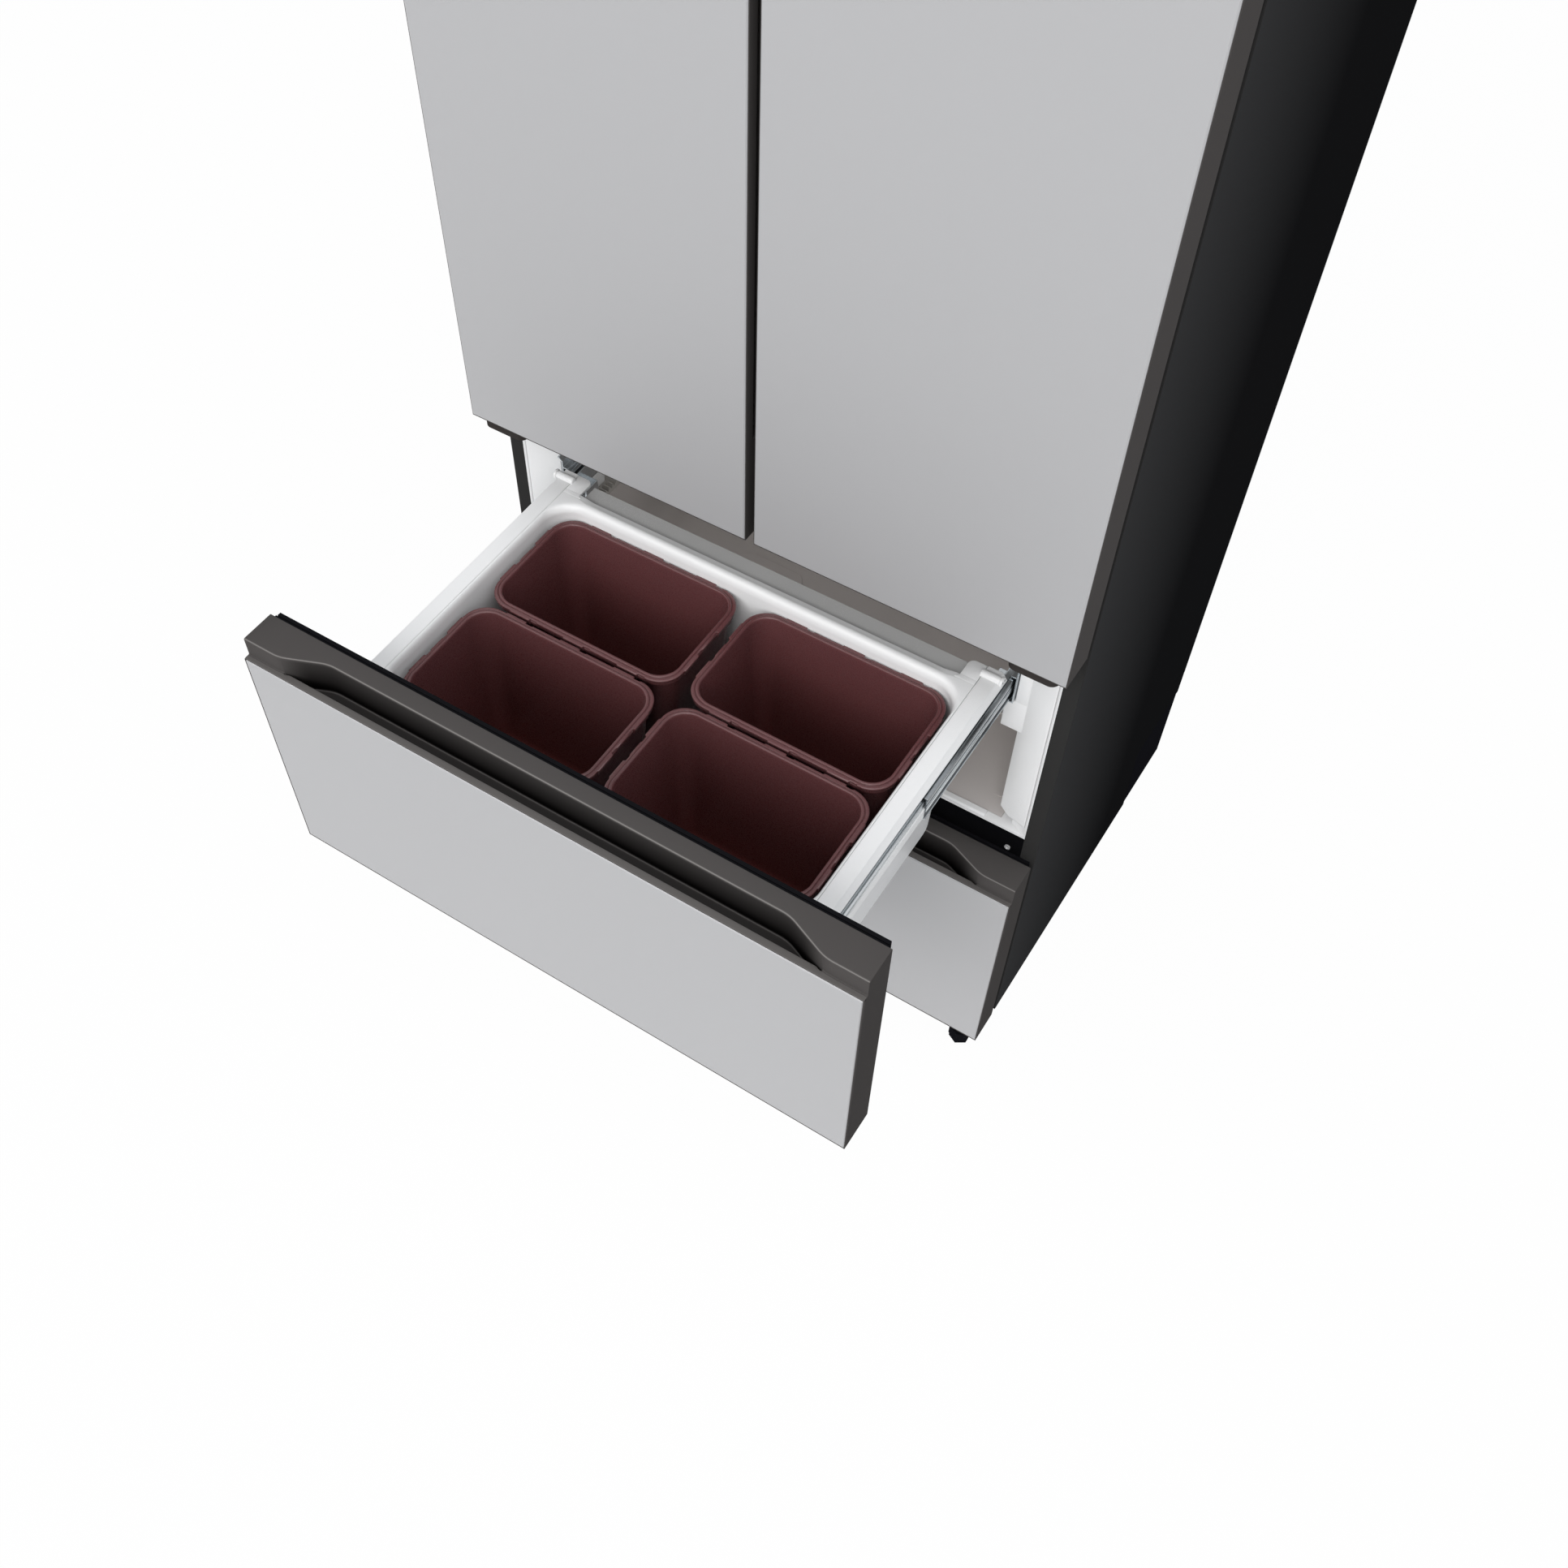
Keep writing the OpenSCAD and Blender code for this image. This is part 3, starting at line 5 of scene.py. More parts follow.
import bmesh
import bpy
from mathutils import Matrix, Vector


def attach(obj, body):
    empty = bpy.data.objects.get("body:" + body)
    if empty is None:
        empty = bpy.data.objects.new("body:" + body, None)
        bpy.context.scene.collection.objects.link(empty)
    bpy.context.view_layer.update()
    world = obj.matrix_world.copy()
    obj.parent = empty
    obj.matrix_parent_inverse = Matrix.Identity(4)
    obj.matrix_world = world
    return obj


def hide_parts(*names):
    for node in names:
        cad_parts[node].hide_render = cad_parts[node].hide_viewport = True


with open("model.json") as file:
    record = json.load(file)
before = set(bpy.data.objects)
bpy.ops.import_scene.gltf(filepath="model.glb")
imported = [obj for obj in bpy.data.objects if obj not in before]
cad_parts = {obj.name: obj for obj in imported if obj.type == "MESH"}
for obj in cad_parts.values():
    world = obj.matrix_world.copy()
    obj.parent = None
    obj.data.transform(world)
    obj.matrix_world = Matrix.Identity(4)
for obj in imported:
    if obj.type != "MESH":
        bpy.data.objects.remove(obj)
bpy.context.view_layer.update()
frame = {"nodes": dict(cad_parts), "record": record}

# ---- camera: place, turn and lens as solved from the photograph's straight edges ----------------

CAMERA_PLACE = (0.70446, -1.22832, 2.19306)   # metres
CAMERA_TURN = (35.2886, 0.1624, 33.0125)      # degrees about X, Y and Z
LENS, SENSOR = 37.492, 36                     # millimetres
SHIFT_X, SHIFT_Y = 0.0352, 0.0204             # shares of the frame's width
FAR_CLIP = 50                                 # metres


def linked(name, data):
    """A new object in the scene."""
    ob = bpy.data.objects.new(name, data)
    bpy.context.scene.collection.objects.link(ob)
    return ob


camera = bpy.data.cameras.new("camera")
camera.lens, camera.sensor_width = LENS, SENSOR
camera.shift_x, camera.shift_y = SHIFT_X, SHIFT_Y
camera.clip_end = FAR_CLIP
camera_ob = linked("camera", camera)
camera_ob.location = CAMERA_PLACE
camera_ob.rotation_euler = [math.radians(a) for a in CAMERA_TURN]
bpy.context.scene.camera = camera_ob
bpy.context.scene.view_settings.view_transform = "Standard"

# ---- node kit --------------------------------------------------------------------------------


class Nodes:
    """A node tree with short names for the nodes used below."""

    def __init__(self, tree):
        self.tree = tree
        tree.nodes.clear()

    def new(self, kind):
        return self.tree.nodes.new("ShaderNode" + kind)

    def link(self, a, b):
        self.tree.links.new(a, b)

    def maths(self, kind, a, b):
        n = self.new("Math")
        n.operation = kind
        for k, v in enumerate((a, b)):
            if isinstance(v, (int, float)):
                n.inputs[k].default_value = v
            else:
                self.link(v, n.inputs[k])
        return n.outputs[0]

    def backdrop(self):
        """1 for the rays that should see a white background: direct, mirrored and through glass."""
        path = self.new("LightPath")
        bent = self.maths("MAXIMUM", path.outputs["Is Glossy Ray"], path.outputs["Is Transmission Ray"])
        return self.maths("MAXIMUM", path.outputs["Is Camera Ray"], bent)

    def blend(self, fac, a, b, out):
        n = self.new("MixShader")
        self.link(fac, n.inputs["Fac"])
        self.link(a, n.inputs[1])
        self.link(b, n.inputs[2])
        self.link(n.outputs[0], out.inputs["Surface"])


class Tree(Nodes):
    """A material with its node tree; its name is the record's slot that it finishes."""

    def __init__(self, name):
        self.slot = name
        self.material = bpy.data.materials.new(name)
        self.material.use_nodes = True
        super().__init__(self.material.node_tree)
        self.out = self.new("OutputMaterial")
        self.shader = self.new("BsdfPrincipled")
        self.link(self.shader.outputs[0], self.out.inputs["Surface"])
        self.where = self.new("TexCoord").outputs["Object"]

    def noise(self, scale, detail=3, rough=0.5, stretch=None):
        n = self.new("TexNoise")
        n.inputs["Scale"].default_value = scale
        n.inputs["Detail"].default_value = detail
        n.inputs["Roughness"].default_value = rough
        where = self.where
        if stretch:
            mapping = self.new("Mapping")
            mapping.inputs["Scale"].default_value = stretch
            self.link(where, mapping.inputs["Vector"])
            where = mapping.outputs["Vector"]
        self.link(where, n.inputs["Vector"])
        return n.outputs["Fac"]

    def place(self, axis):
        """The place along "X", "Y" or "Z", in metres."""
        n = self.new("SeparateXYZ")
        self.link(self.where, n.inputs[0])
        return n.outputs[axis]

    # per-point value painted into the colour: painted shade over 0, painted highlight below 0
    def tone(self):
        n = self.new("Attribute")
        n.attribute_name = "tone"
        return n.outputs["Fac"]

    def span(self, value, low, high, to_low, to_high):
        n = self.new("MapRange")
        for key, v in (("From Min", low), ("From Max", high), ("To Min", to_low), ("To Max", to_high)):
            n.inputs[key].default_value = v
        self.link(value, n.inputs["Value"])
        return n.outputs["Result"]

    def mix(self, fac, a, b):
        n = self.new("Mix")
        n.data_type = "RGBA"
        fac_socket, a_socket, b_socket = n.inputs[0], n.inputs[6], n.inputs[7]
        self.link(fac, fac_socket)
        for socket, v in ((a_socket, a), (b_socket, b)):
            if isinstance(v, tuple):
                socket.default_value = (*v, 1)
            else:
                self.link(v, socket)
        return n.outputs[2]

    def rounded(self, radius=0.0008):
        n = self.new("Bevel")
        n.samples = 4
        n.inputs["Radius"].default_value = radius
        return n.outputs["Normal"]

    def bump(self, height, distance, after=None):
        n = self.new("Bump")
        n.inputs["Distance"].default_value = distance
        self.link(height, n.inputs["Height"])
        if after is not None:
            self.link(after, n.inputs["Normal"])
        return n.outputs["Normal"]

    def set(self, **values):
        for key, v in values.items():
            socket = self.shader.inputs[key.replace("_", " ")]
            if isinstance(v, tuple):
                socket.default_value = (*v, 1)
            elif isinstance(v, (int, float)):
                socket.default_value = v
            else:
                self.link(v, socket)


# ---- light -----------------------------------------------------------------------------------

SKY_COLOR, SKY_STRENGTH = (0.93, 0.96, 1, 1), 0.44
WHITE_BACKGROUND = (1, 1, 1, 1)
SUN_STRENGTH, SUN_ANGLE, SUN_WAY = 1.45, 45, (-0.8, 4.0, -2.5)

world = bpy.data.worlds.new("studio")
bpy.context.scene.world = world
world.use_nodes = True
sky = Nodes(world.node_tree)
sky_light, sky_seen = sky.new("Background"), sky.new("Background")
sky_light.inputs["Color"].default_value = SKY_COLOR
sky_light.inputs["Strength"].default_value = SKY_STRENGTH
sky_seen.inputs["Color"].default_value = WHITE_BACKGROUND
sky.blend(sky.backdrop(), sky_light.outputs[0], sky_seen.outputs[0], sky.new("OutputWorld"))


def softbox(name, place, aim, size, power, tint=(1, 1, 1)):
    light = bpy.data.lights.new(name, "AREA")
    light.shape = "RECTANGLE"
    light.size, light.size_y = size
    light.energy = power
    light.color = tint
    ob = linked(name, light)
    ob.location = place
    ob.rotation_euler = (Vector(aim) - Vector(place)).to_track_quat("-Z", "Y").to_euler()
    ob.visible_camera = False


softbox("key", place=(-2.2, -4.6, 3.9), aim=(0, -0.2, 0.8), size=(3.0, 3.0), power=46, tint=(1, 0.99, 0.98))
softbox("over", place=(0.9, -1.0, 4.0), aim=(0, -0.4, 0.6), size=(2.6, 1.6), power=36)
# a faint glow inside the middle room
softbox("room", place=(0, 0.08, 0.8), aim=(0, 0.09, 0.5), size=(0.6, 0.16), power=0.22)
front = bpy.data.lights.new("front", "SUN")
front.energy = SUN_STRENGTH
front.angle = math.radians(SUN_ANGLE)
front.color = (1, 0.99, 0.985)
linked("front", front).rotation_euler = Vector(SUN_WAY).to_track_quat("-Z", "Y").to_euler()

# ---- materials -------------------------------------------------------------------------------


def shade(color, by):
    return tuple(min(1.0, c * by) for c in color)


def surface(name, color, rough, metal=0.0, mottle=0.04, grain=900, bump=0.00003, edge=0.0008,
            rough_by=0.06, spec=0.5, stretch=None, painted_shade_color=None, painted_highlight_color=None):
    """A plain finish with its own mottling, grain, uneven gloss and softened edges.

    With the two extra colours, a per-point value of the mesh paints shade into its recesses and highlights
    onto its edges."""
    t = Tree(name)
    broad = t.noise(4, 4, 0.6)
    fine = t.noise(grain, 3, 0.6, stretch)
    both = t.maths("ADD", t.maths("MULTIPLY", broad, 0.5), t.maths("MULTIPLY", fine, 0.5))
    base = t.mix(both, shade(color, 1 - mottle), shade(color, 1 + mottle))
    if painted_shade_color:
        # painted shade where the mesh's value is over 0, painted highlight where it is below 0
        base = t.mix(t.span(t.tone(), 0, 1, 0, 1), base, painted_shade_color)
        base = t.mix(t.span(t.tone(), 0, -1, 0, 1), base, painted_highlight_color)
    t.set(Base_Color=base, Roughness=t.span(both, 0.3, 0.7, rough - rough_by, rough + rough_by),
          Metallic=metal, Specular_IOR_Level=spec)
    t.set(Normal=t.bump(fine, bump, after=t.rounded(edge) if edge else None))
    return t


def case_finish():
    """Side sheets with a painted sheen that falls off towards the rear, behind a paler front flange."""
    sheen_y0, sheen_y1 = -0.05, 0.3           # metres; where the painted sheen starts and ends
    flange_y0, flange_y1 = -0.0484, -0.048    # just behind the case's front edge
    t = Tree("case_paint")
    grain = t.noise(1800, 3, 0.6)
    # painted sheen: lighter at the front, darker towards the rear
    rear = t.span(t.place("Y"), sheen_y0, sheen_y1, 0.0, 1.0)
    flange = t.span(t.place("Y"), flange_y0, flange_y1, 1.0, 0.0)
    sheet_with_painted_sheen = t.mix(rear, (0.042, 0.042, 0.043), (0.009, 0.009, 0.0095))
    t.set(Base_Color=t.mix(flange, sheet_with_painted_sheen, (0.034, 0.0335, 0.033)), Specular_IOR_Level=0.0,
          Roughness=t.span(grain, 0.3, 0.7, 0.55, 0.65),
          Normal=t.bump(grain, 0.00002, after=t.rounded()))
    return t


def plum_finish():
    """Container plastic with painted shade: lighter at the rims, darker and redder towards the floor."""
    floor_z, rim_z = 0.53, 0.75               # metres
    t = Tree("container_plum")
    grain = t.noise(1400, 2)
    # painted shade, deepening towards the containers' floors
    depth = t.span(t.place("Z"), floor_z, rim_z, 1.0, 0.0)
    t.set(Base_Color=t.mix(depth, (0.125, 0.046, 0.048), (0.085, 0.022, 0.02)),
          Roughness=t.span(grain, 0, 1, 0.22, 0.34),
          Normal=t.bump(grain, 0.00001, after=t.rounded(0.0015)), Subsurface_Weight=0.1)
    t.shader.inputs["Subsurface Radius"].default_value = (0.004, 0.001, 0.001)
    return t


silver = surface("silver_panel", (0.46, 0.46, 0.467), 0.5, metal=0.08, mottle=0.012, grain=2600,
                 bump=0.000012, edge=0.0009, rough_by=0.03, spec=0.2)
case_paint = case_finish()
# the trim's extra colours: painted shade for the finger pocket and under the cap, painted highlight for its
# edges
charcoal = surface("charcoal_trim", (0.084, 0.078, 0.0755), 0.5, mottle=0.05, grain=2200, bump=0.000015,
                   edge=0.0009, rough_by=0.05, spec=0.0, painted_shade_color=(0.004, 0.0034, 0.0034), painted_highlight_color=(0.45, 0.43, 0.41))
black_metal = surface("black_metal", (0.0045, 0.0045, 0.0052), 0.4, mottle=0.1, grain=1500, spec=0.0)
white = surface("white_plastic", (0.865, 0.868, 0.868), 0.3, mottle=0.012, grain=1200, bump=0.00001,
                edge=0.0015)
rubber = surface("seal_rubber", (0.009, 0.009, 0.0105), 0.6, mottle=0.12, grain=700, spec=0.0)
room_metal = surface("room_metal", (0.6, 0.565, 0.545), 0.4, mottle=0.05, grain=600, stretch=(1, 1, 30))
# the slide's extra colours: painted shade in the ribs' grooves and inside the channel, painted highlights on
# the ribs' crests
slide_steel = surface("slide_steel", (0.5, 0.535, 0.56), 0.24, metal=0.95, mottle=0.05, bump=0.000004,
                      rough_by=0.02, stretch=(1, 0.02, 1), painted_shade_color=(0.02, 0.026, 0.034), painted_highlight_color=(0.95, 0.97, 1.0))
rack_plastic = surface("rack_plastic", (0.4, 0.38, 0.355), 0.5, mottle=0.05)
shaft_metal = surface("shaft_metal", (0.5, 0.51, 0.52), 0.3, metal=0.9, stretch=(0.05, 1, 1))
clear = surface("clear_plastic", (0.8, 0.83, 0.84), 0.15, mottle=0.01)
clear.set(Transmission_Weight=0.75)
glass = surface("shelf_glass", (0.86, 0.93, 0.91), 0.06, mottle=0.01, rough_by=0.02)
glass.set(Transmission_Weight=0.9)
strip = surface("strip_grey", (0.48, 0.48, 0.475), 0.25, mottle=0.03)
zinc = surface("zinc_steel", (0.4, 0.41, 0.42), 0.42, metal=0.8, mottle=0.12, grain=60, bump=0.00002)
bright = surface("bright_steel", (0.9, 0.9, 0.91), 0.22, metal=0.6)
# near-white strips on the panels' bevelled edges: a painted highlight where the silver edge catches the light
painted_highlight_metal = surface("panel_painted_highlight", (0.97, 0.97, 0.98), 0.25, metal=0.5, edge=0)
foam = surface("foam", (0.72, 0.6, 0.3), 0.8, grain=300)
hinge_paint = surface("hinge_paint", (0.045, 0.04, 0.038), 0.45, mottle=0.1, grain=1600, bump=0.00005,
                      spec=0.0)
dark_plastic = surface("dark_plastic", (0.0085, 0.0085, 0.0105), 0.5, mottle=0.1, grain=1300, bump=0.00004,
                       spec=0.0)
plum = plum_finish()

looks = {t.slot: t.material for t in (
    silver, case_paint, charcoal, black_metal, white, rubber, room_metal, slide_steel, rack_plastic,
    shaft_metal, clear, glass, strip, zinc, bright, foam, hinge_paint, dark_plastic, plum)}
slots = {s["node"]: s["material_slot"] for s in frame["record"]["subparts"]}
for name, ob in frame["nodes"].items():
    ob.data.materials.clear()
    ob.data.materials.append(looks[slots[name]])

# ---- mesh kit: points are in millimetres -----------------------------------------------------


def outline(x0, x1, y0, y1, r, long_u=(), short_u=(), corner=10):
    """Rounded rectangle as (x, y, side, place along the side from -1 to 1)."""
    out = []
    cx, cy = (x0 + x1) / 2, (y0 + y1) / 2
    hx, hy = (x1 - x0) / 2 - r, (y1 - y0) / 2 - r
    for q, (sx, sy) in enumerate(((1, 1), (-1, 1), (-1, -1), (1, -1))):
        for k in range(corner + 1):
            t = math.pi / 2 * (q + k / corner)
            out.append((cx + sx * hx + r * math.cos(t), cy + sy * hy + r * math.sin(t), None, 0))
        if q == 0:
            out += [(cx + u * hx, y1, "back", u) for u in reversed(long_u)]
        elif q == 1:
            out += [(x0, cy + u * hy, "left", u) for u in reversed(short_u)]
        elif q == 2:
            out += [(cx + u * hx, y0, "front", u) for u in long_u]
        else:
            out += [(x1, cy + u * hy, "right", u) for u in short_u]
    return out


def arc(cx, cy, r, start, end, steps):
    """Points (x, y) on an arc; the angles are in degrees."""
    angles = [math.radians(start + (end - start) * k / steps) for k in range(steps + 1)]
    return [(cx + r * math.cos(t), cy + r * math.sin(t)) for t in angles]


def flat_ring(r, z, sides, start=0):
    """A level ring of that many corners; the first one lies at start degrees."""
    angles = [math.radians(start + 360 / sides * k) for k in range(sides)]
    return [(r * math.cos(t), r * math.sin(t), z) for t in angles]


def smooth(t):
    t = max(0.0, min(1.0, t))
    return t * t * (3 - 2 * t)


class Form:
    """Gathers points and faces, and turns them into one piece of the model."""

    def __init__(self):
        self.points = []
        self.painted_lights = []
        self.faces = []

    def add(self, points):
        """Points are (x, y, z), or (x, y, z) with a fourth value: over 0 it paints shade, as in a recess;
        below 0 it paints a highlight, as on an edge.
        """
        start = len(self.points)
        self.points += [p[:3] for p in points]
        self.painted_lights += [p[3] if len(p) > 3 else 0.0 for p in points]
        return list(range(start, start + len(points)))

    def loft(self, rings):
        """A skin over closed rings, with a cap at each end."""
        rows = [self.add(r) for r in rings]
        n = len(rows[0])
        for a, b in zip(rows, rows[1:]):
            for k in range(n):
                m = (k + 1) % n
                self.faces.append((a[k], a[m], b[m], b[k]))
        self.faces.append(tuple(reversed(rows[0])))
        self.faces.append(tuple(rows[-1]))

    def along_x(self, section, xs):
        self.loft([[(x, *p) for p in section] for x in xs])

    def along_y(self, section, ys):
        """The section is (x, z), or (x, z) with a third value that paints shade over 0 and a highlight below
        0.
        """
        self.loft([[(x, y, *p) for x, *p in section] for y in ys])

    def along_z(self, section, zs):
        self.loft([[(x, y, z) for x, y in section] for z in zs])

    def block(self, low, high, r=0.4):
        """A block with small rounded edges along all its sides."""
        (x0, y0, z0), (x1, y1, z1) = low, high
        r = min(r, (x1 - x0) / 2.01, (y1 - y0) / 2.01, (z1 - z0) / 2.01)
        rings = []
        for z, inset in ((z0, r), (z0 + r * 0.3, r * 0.3), (z0 + r, 0), (z1 - r, 0),
                         (z1 - r * 0.3, r * 0.3), (z1, r)):
            ring = outline(x0 + inset, x1 - inset, y0 + inset, y1 - inset, max(r - inset, 0.02), corner=3)
            rings.append([(x, y, z) for x, y, _, _ in ring])
        self.loft(rings)

    def rod(self, x0, x1, y, z, radius, ends=0.8, sides=28):
        """A rod along X with rounded ends."""
        rings = []
        for x, r in ((x0, radius - ends), (x0 + ends * 0.3, radius - ends * 0.3), (x0 + ends, radius),
                     (x1 - ends, radius), (x1 - ends * 0.3, radius - ends * 0.3), (x1, radius - ends)):
            angles = [2 * math.pi * k / sides for k in range(sides)]
            rings.append([(x, y + r * math.cos(t), z + r * math.sin(t)) for t in angles])
        self.loft(rings)

    def mesh(self, name, at, mirrored):
        points, painted_lights, faces = self.points, self.painted_lights, self.faces
        if mirrored:
            n = len(points)
            points = points + [(-x, y, z) for x, y, z in points]
            painted_lights = painted_lights * 2
            faces = faces + [tuple(k + n for k in reversed(f)) for f in faces]
        mesh = bpy.data.meshes.new(name)
        mesh.from_pydata([[(v + a) / 1000 for v, a in zip(p, at)] for p in points], [], faces)
        if any(painted_lights):
            mesh.attributes.new("tone", "FLOAT", "POINT").data.foreach_set("value", painted_lights)
        return mesh

    def piece(self, name, body, tree, replaces=(), at=(0, 0, 0), sharp=40, mirrored=False, slot=None):
        """A piece that rides on the body and takes the place of the replaced nodes."""
        mesh = self.mesh(name, at, mirrored)
        work = bmesh.new()
        work.from_mesh(mesh)
        bmesh.ops.remove_doubles(work, verts=work.verts, dist=0.00001)
        bmesh.ops.dissolve_degenerate(work, dist=0.000005, edges=work.edges)
        bmesh.ops.recalc_face_normals(work, faces=work.faces)
        work.to_mesh(mesh)
        work.free()
        mesh.shade_smooth()
        mesh.set_sharp_from_angle(angle=math.radians(sharp))
        mesh.materials.append(tree.material)
        ob = linked(name, mesh)
        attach(ob, body)
        slot or tree.slot
        if replaces:
            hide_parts(*replaces)


# ---- sizes of the CAD model, in millimetres --------------------------------------------------
# In a drawer, y is 0 at its front's face and z is 0 at its front's top edge.

HW = 397.5                                    # half of the width
ROW = -109.6                                  # y of the closed fronts' faces
CASE_Y, BACK = 61.0, 636.0                    # the case's front and back behind those faces
BACK_WALL = 61.0
LIFT = 66.0                                   # underside of the case
DOOR_GAP = 11.0
FRONT_T, PANEL_T = 52.0, 4.0                  # fronts and their silver panels
HANDLE_H, HANDLE_END, HANDLE_MID = 25.7, 8.0, 30.0
POCKET = 22.0                                 # depth of the finger pocket
GRIP, CURVE, ARC = 285.0, 72.0, 48.0          # half of the straight edge, its S-curve and its radius
BIN_HALF, BIN_Y0, BIN_LEN, BIN_T = 285.0, 72.0, 358.0, 3.0
RIM = -68.5
BIN_END = BIN_Y0 + BIN_LEN
FRAME_X, FRAME_T = 301.5, 2.0                 # web of the side frames
COVER_X = 313.5                               # outer edge of their covers
FRAME_Y0 = CASE_Y + 5
FLANGE_Y = BIN_END + 17                       # rear edge of the tub's rim
EAR_Y0, EAR_Y1, EAR_X, EAR_R = FLANGE_Y - 3, FLANGE_Y + 27, 266.0, 8.0
SLIDE_Z, SLIDE_HALF = -101.5, 22              # middle of the slides, and half of their height
SLIDE_Y0, SLIDE_Y1 = CASE_Y + 6, BACK - BACK_WALL - 15
CONT_W, CONT_D, CONT_R, CONT_H = 267.0, 166.0, 32.0, 217.5

Drawer = namedtuple("Drawer", "top opened height depth")
DRAWERS = {"middle": Drawer(842.5, 416.8, 368.0, 236.0), "lower": Drawer(454.0, 0.0, 390.0, 240.0)}


def drawer_place(which):
    drawer = DRAWERS[which]
    return 0, ROW - drawer.opened, drawer.top


# ---- drawer fronts ---------------------------------------------------------------------------

CAP_T = 2.3                                   # trim above the panel's top edge
LIP_Y, LIP_FADE = HANDLE_END + 1.5, 3         # front wall of the pocket, and how it runs out
SHADE_FADE = 46                               # length over which the handle's painted shade runs out
BEVEL = ((2.35, 0.02), (1.0, 1.25), (1.2, 1.6), (2.5, 0.4))   # in from the side, behind the face


def setback(x):
    """How far the finger edge stands behind the face, |x| from the middle of the front."""
    x = abs(x)
    if x <= GRIP:
        return HANDLE_MID
    if x >= GRIP + CURVE:
        return HANDLE_END
    rise = 2 * ARC - (HANDLE_MID - HANDLE_END)
    turn = math.atan2(CURVE, rise) - math.acos(2 * ARC / math.hypot(CURVE, rise))
    x_in, y_in = GRIP + ARC * math.sin(turn), HANDLE_MID - ARC + ARC * math.cos(turn)
    x_out, y_out = GRIP + CURVE - ARC * math.sin(turn), HANDLE_END + ARC - ARC * math.cos(turn)
    if x < x_in:
        return HANDLE_MID - ARC + math.sqrt(ARC ** 2 - (x - GRIP) ** 2)
    if x > x_out:
        return HANDLE_END + ARC - math.sqrt(ARC ** 2 - (GRIP + CURVE - x) ** 2)
    return y_in + (y_out - y_in) * (x - x_in) / (x_out - x_in)


def front_section(x, h):
    """Closed outline of a front's dark body across X, as (y, z) and a value for painted shade in the pocket,
    on the underside and under the cap, and painted highlights on its edges; towards its ends the pocket's
    painted shade runs out.
    """
    s = setback(x)
    pocket = POCKET * math.sqrt(max(0.0, min(1.0, (s - LIP_Y) / LIP_FADE)))
    foot = -HANDLE_H - pocket
    fillet = 2.2 if pocket else 1.6
    lip = min(LIP_Y, s - fillet - 0.02)
    edge, back_edge, top_edge = 1.6, 0.9, 0.8
    # how much of the pocket's painted shade is left: 1 in the middle, 0 at the ends
    inner = smooth((GRIP + CURVE + 4 - abs(x)) / SHADE_FADE)
    # underside with a faint painted shade, back and top
    out = [(PANEL_T, -h, 0.3), (FRONT_T - 0.6, -h, 0.3), (FRONT_T, -h + 0.6, 0.3)]
    out += [(y, z, 0) for y, z in arc(FRONT_T - back_edge, -back_edge, back_edge, 0, 90, 3)]
    out += [(s + edge + 0.9, 0, 0)]
    # finger edge with a painted highlight, and the pocket below it: painted shade on its wall, a painted
    # highlight along the fillet at its foot
    out += [(y, z, t) for (y, z), t in zip(arc(s + edge, -edge, edge, 90, 180, 7),
                                           (-0.08, -0.2, -0.36, -0.36, -0.2, -0.08, 0, 0.3 * inner))]
    out += [(s, -edge - 3, 0.62 * inner), (s, foot + fillet + 2, (1.0 if pocket else 0.3) * inner)]
    out += [(y, z, t * inner if t > 0 else t * min(1, pocket)) for (y, z), t in
            zip(arc(s - fillet, foot + fillet, fillet, 0, -90, 5), (0.8, 0.2, -0.14, -0.14, 0.2, 0.42))]
    # front wall of the pocket in painted shade with a painted highlight along its top, and the trim over the
    # panel with painted shade under it
    out += [(lip, foot, 0.55 * inner), (lip, -HANDLE_H - min(pocket, 0.7), 0.3 * inner),
            (lip - 0.5, -HANDLE_H - min(pocket, 0.15), -0.18), (lip - 1, -HANDLE_H, -0.12)]
    out += [(y, z, -0.1) for y, z in arc(1.2 + top_edge, -HANDLE_H - top_edge, top_edge, 90, 180, 3)]
    out += [(1.2, -HANDLE_H - CAP_T, 0.5), (PANEL_T, -HANDLE_H - CAP_T, 1)]
    return out


def end_section(h, side):
    """The outline at an end of the front, drawn in a little all round, with a faint even painted shade."""
    return [(side * HW, y + 0.25 * (1 if y < 20 else -1), z - (0.3 if z > -20 else 0), 0.15)
            for y, z, _ in front_section(HW, h)]


def front_body(which):
    h = DRAWERS[which].height
    half = [0, GRIP - 40] + [GRIP + CURVE * k / 40 for k in range(41)] + [GRIP + CURVE + 8, HW - 0.5]
    xs = [-x for x in reversed(half[1:])] + half
    rings = [[(x, y, z, t) for y, z, t in front_section(x, h)] for x in xs]
    form = Form()
    form.loft([end_section(h, -1)] + rings + [end_section(h, 1)])
    # rims under and beside the panel
    form.block((-HW, 0.3, -h), (HW, PANEL_T + 0.5, -h + 1.8), 0.3)
    for x0, x1 in ((-HW, -HW + 0.9), (HW - 0.9, HW)):
        form.block((x0, 0.3, -h), (x1, PANEL_T + 0.5, -HANDLE_H - 0.5), 0.2)
    form.piece(which + "_front_body", which + "_drawer", charcoal, [which + "_front_frame"],
               drawer_place(which), sharp=50)


def side_bevel(form, edge, way, z0, z1):
    """Bevel along a panel's upright edge, near white as a painted highlight; way is 1 on its right edge and
    -1 on its left.
    """
    form.along_z([(edge - way * inset, y) for inset, y in BEVEL], (z0, z1))


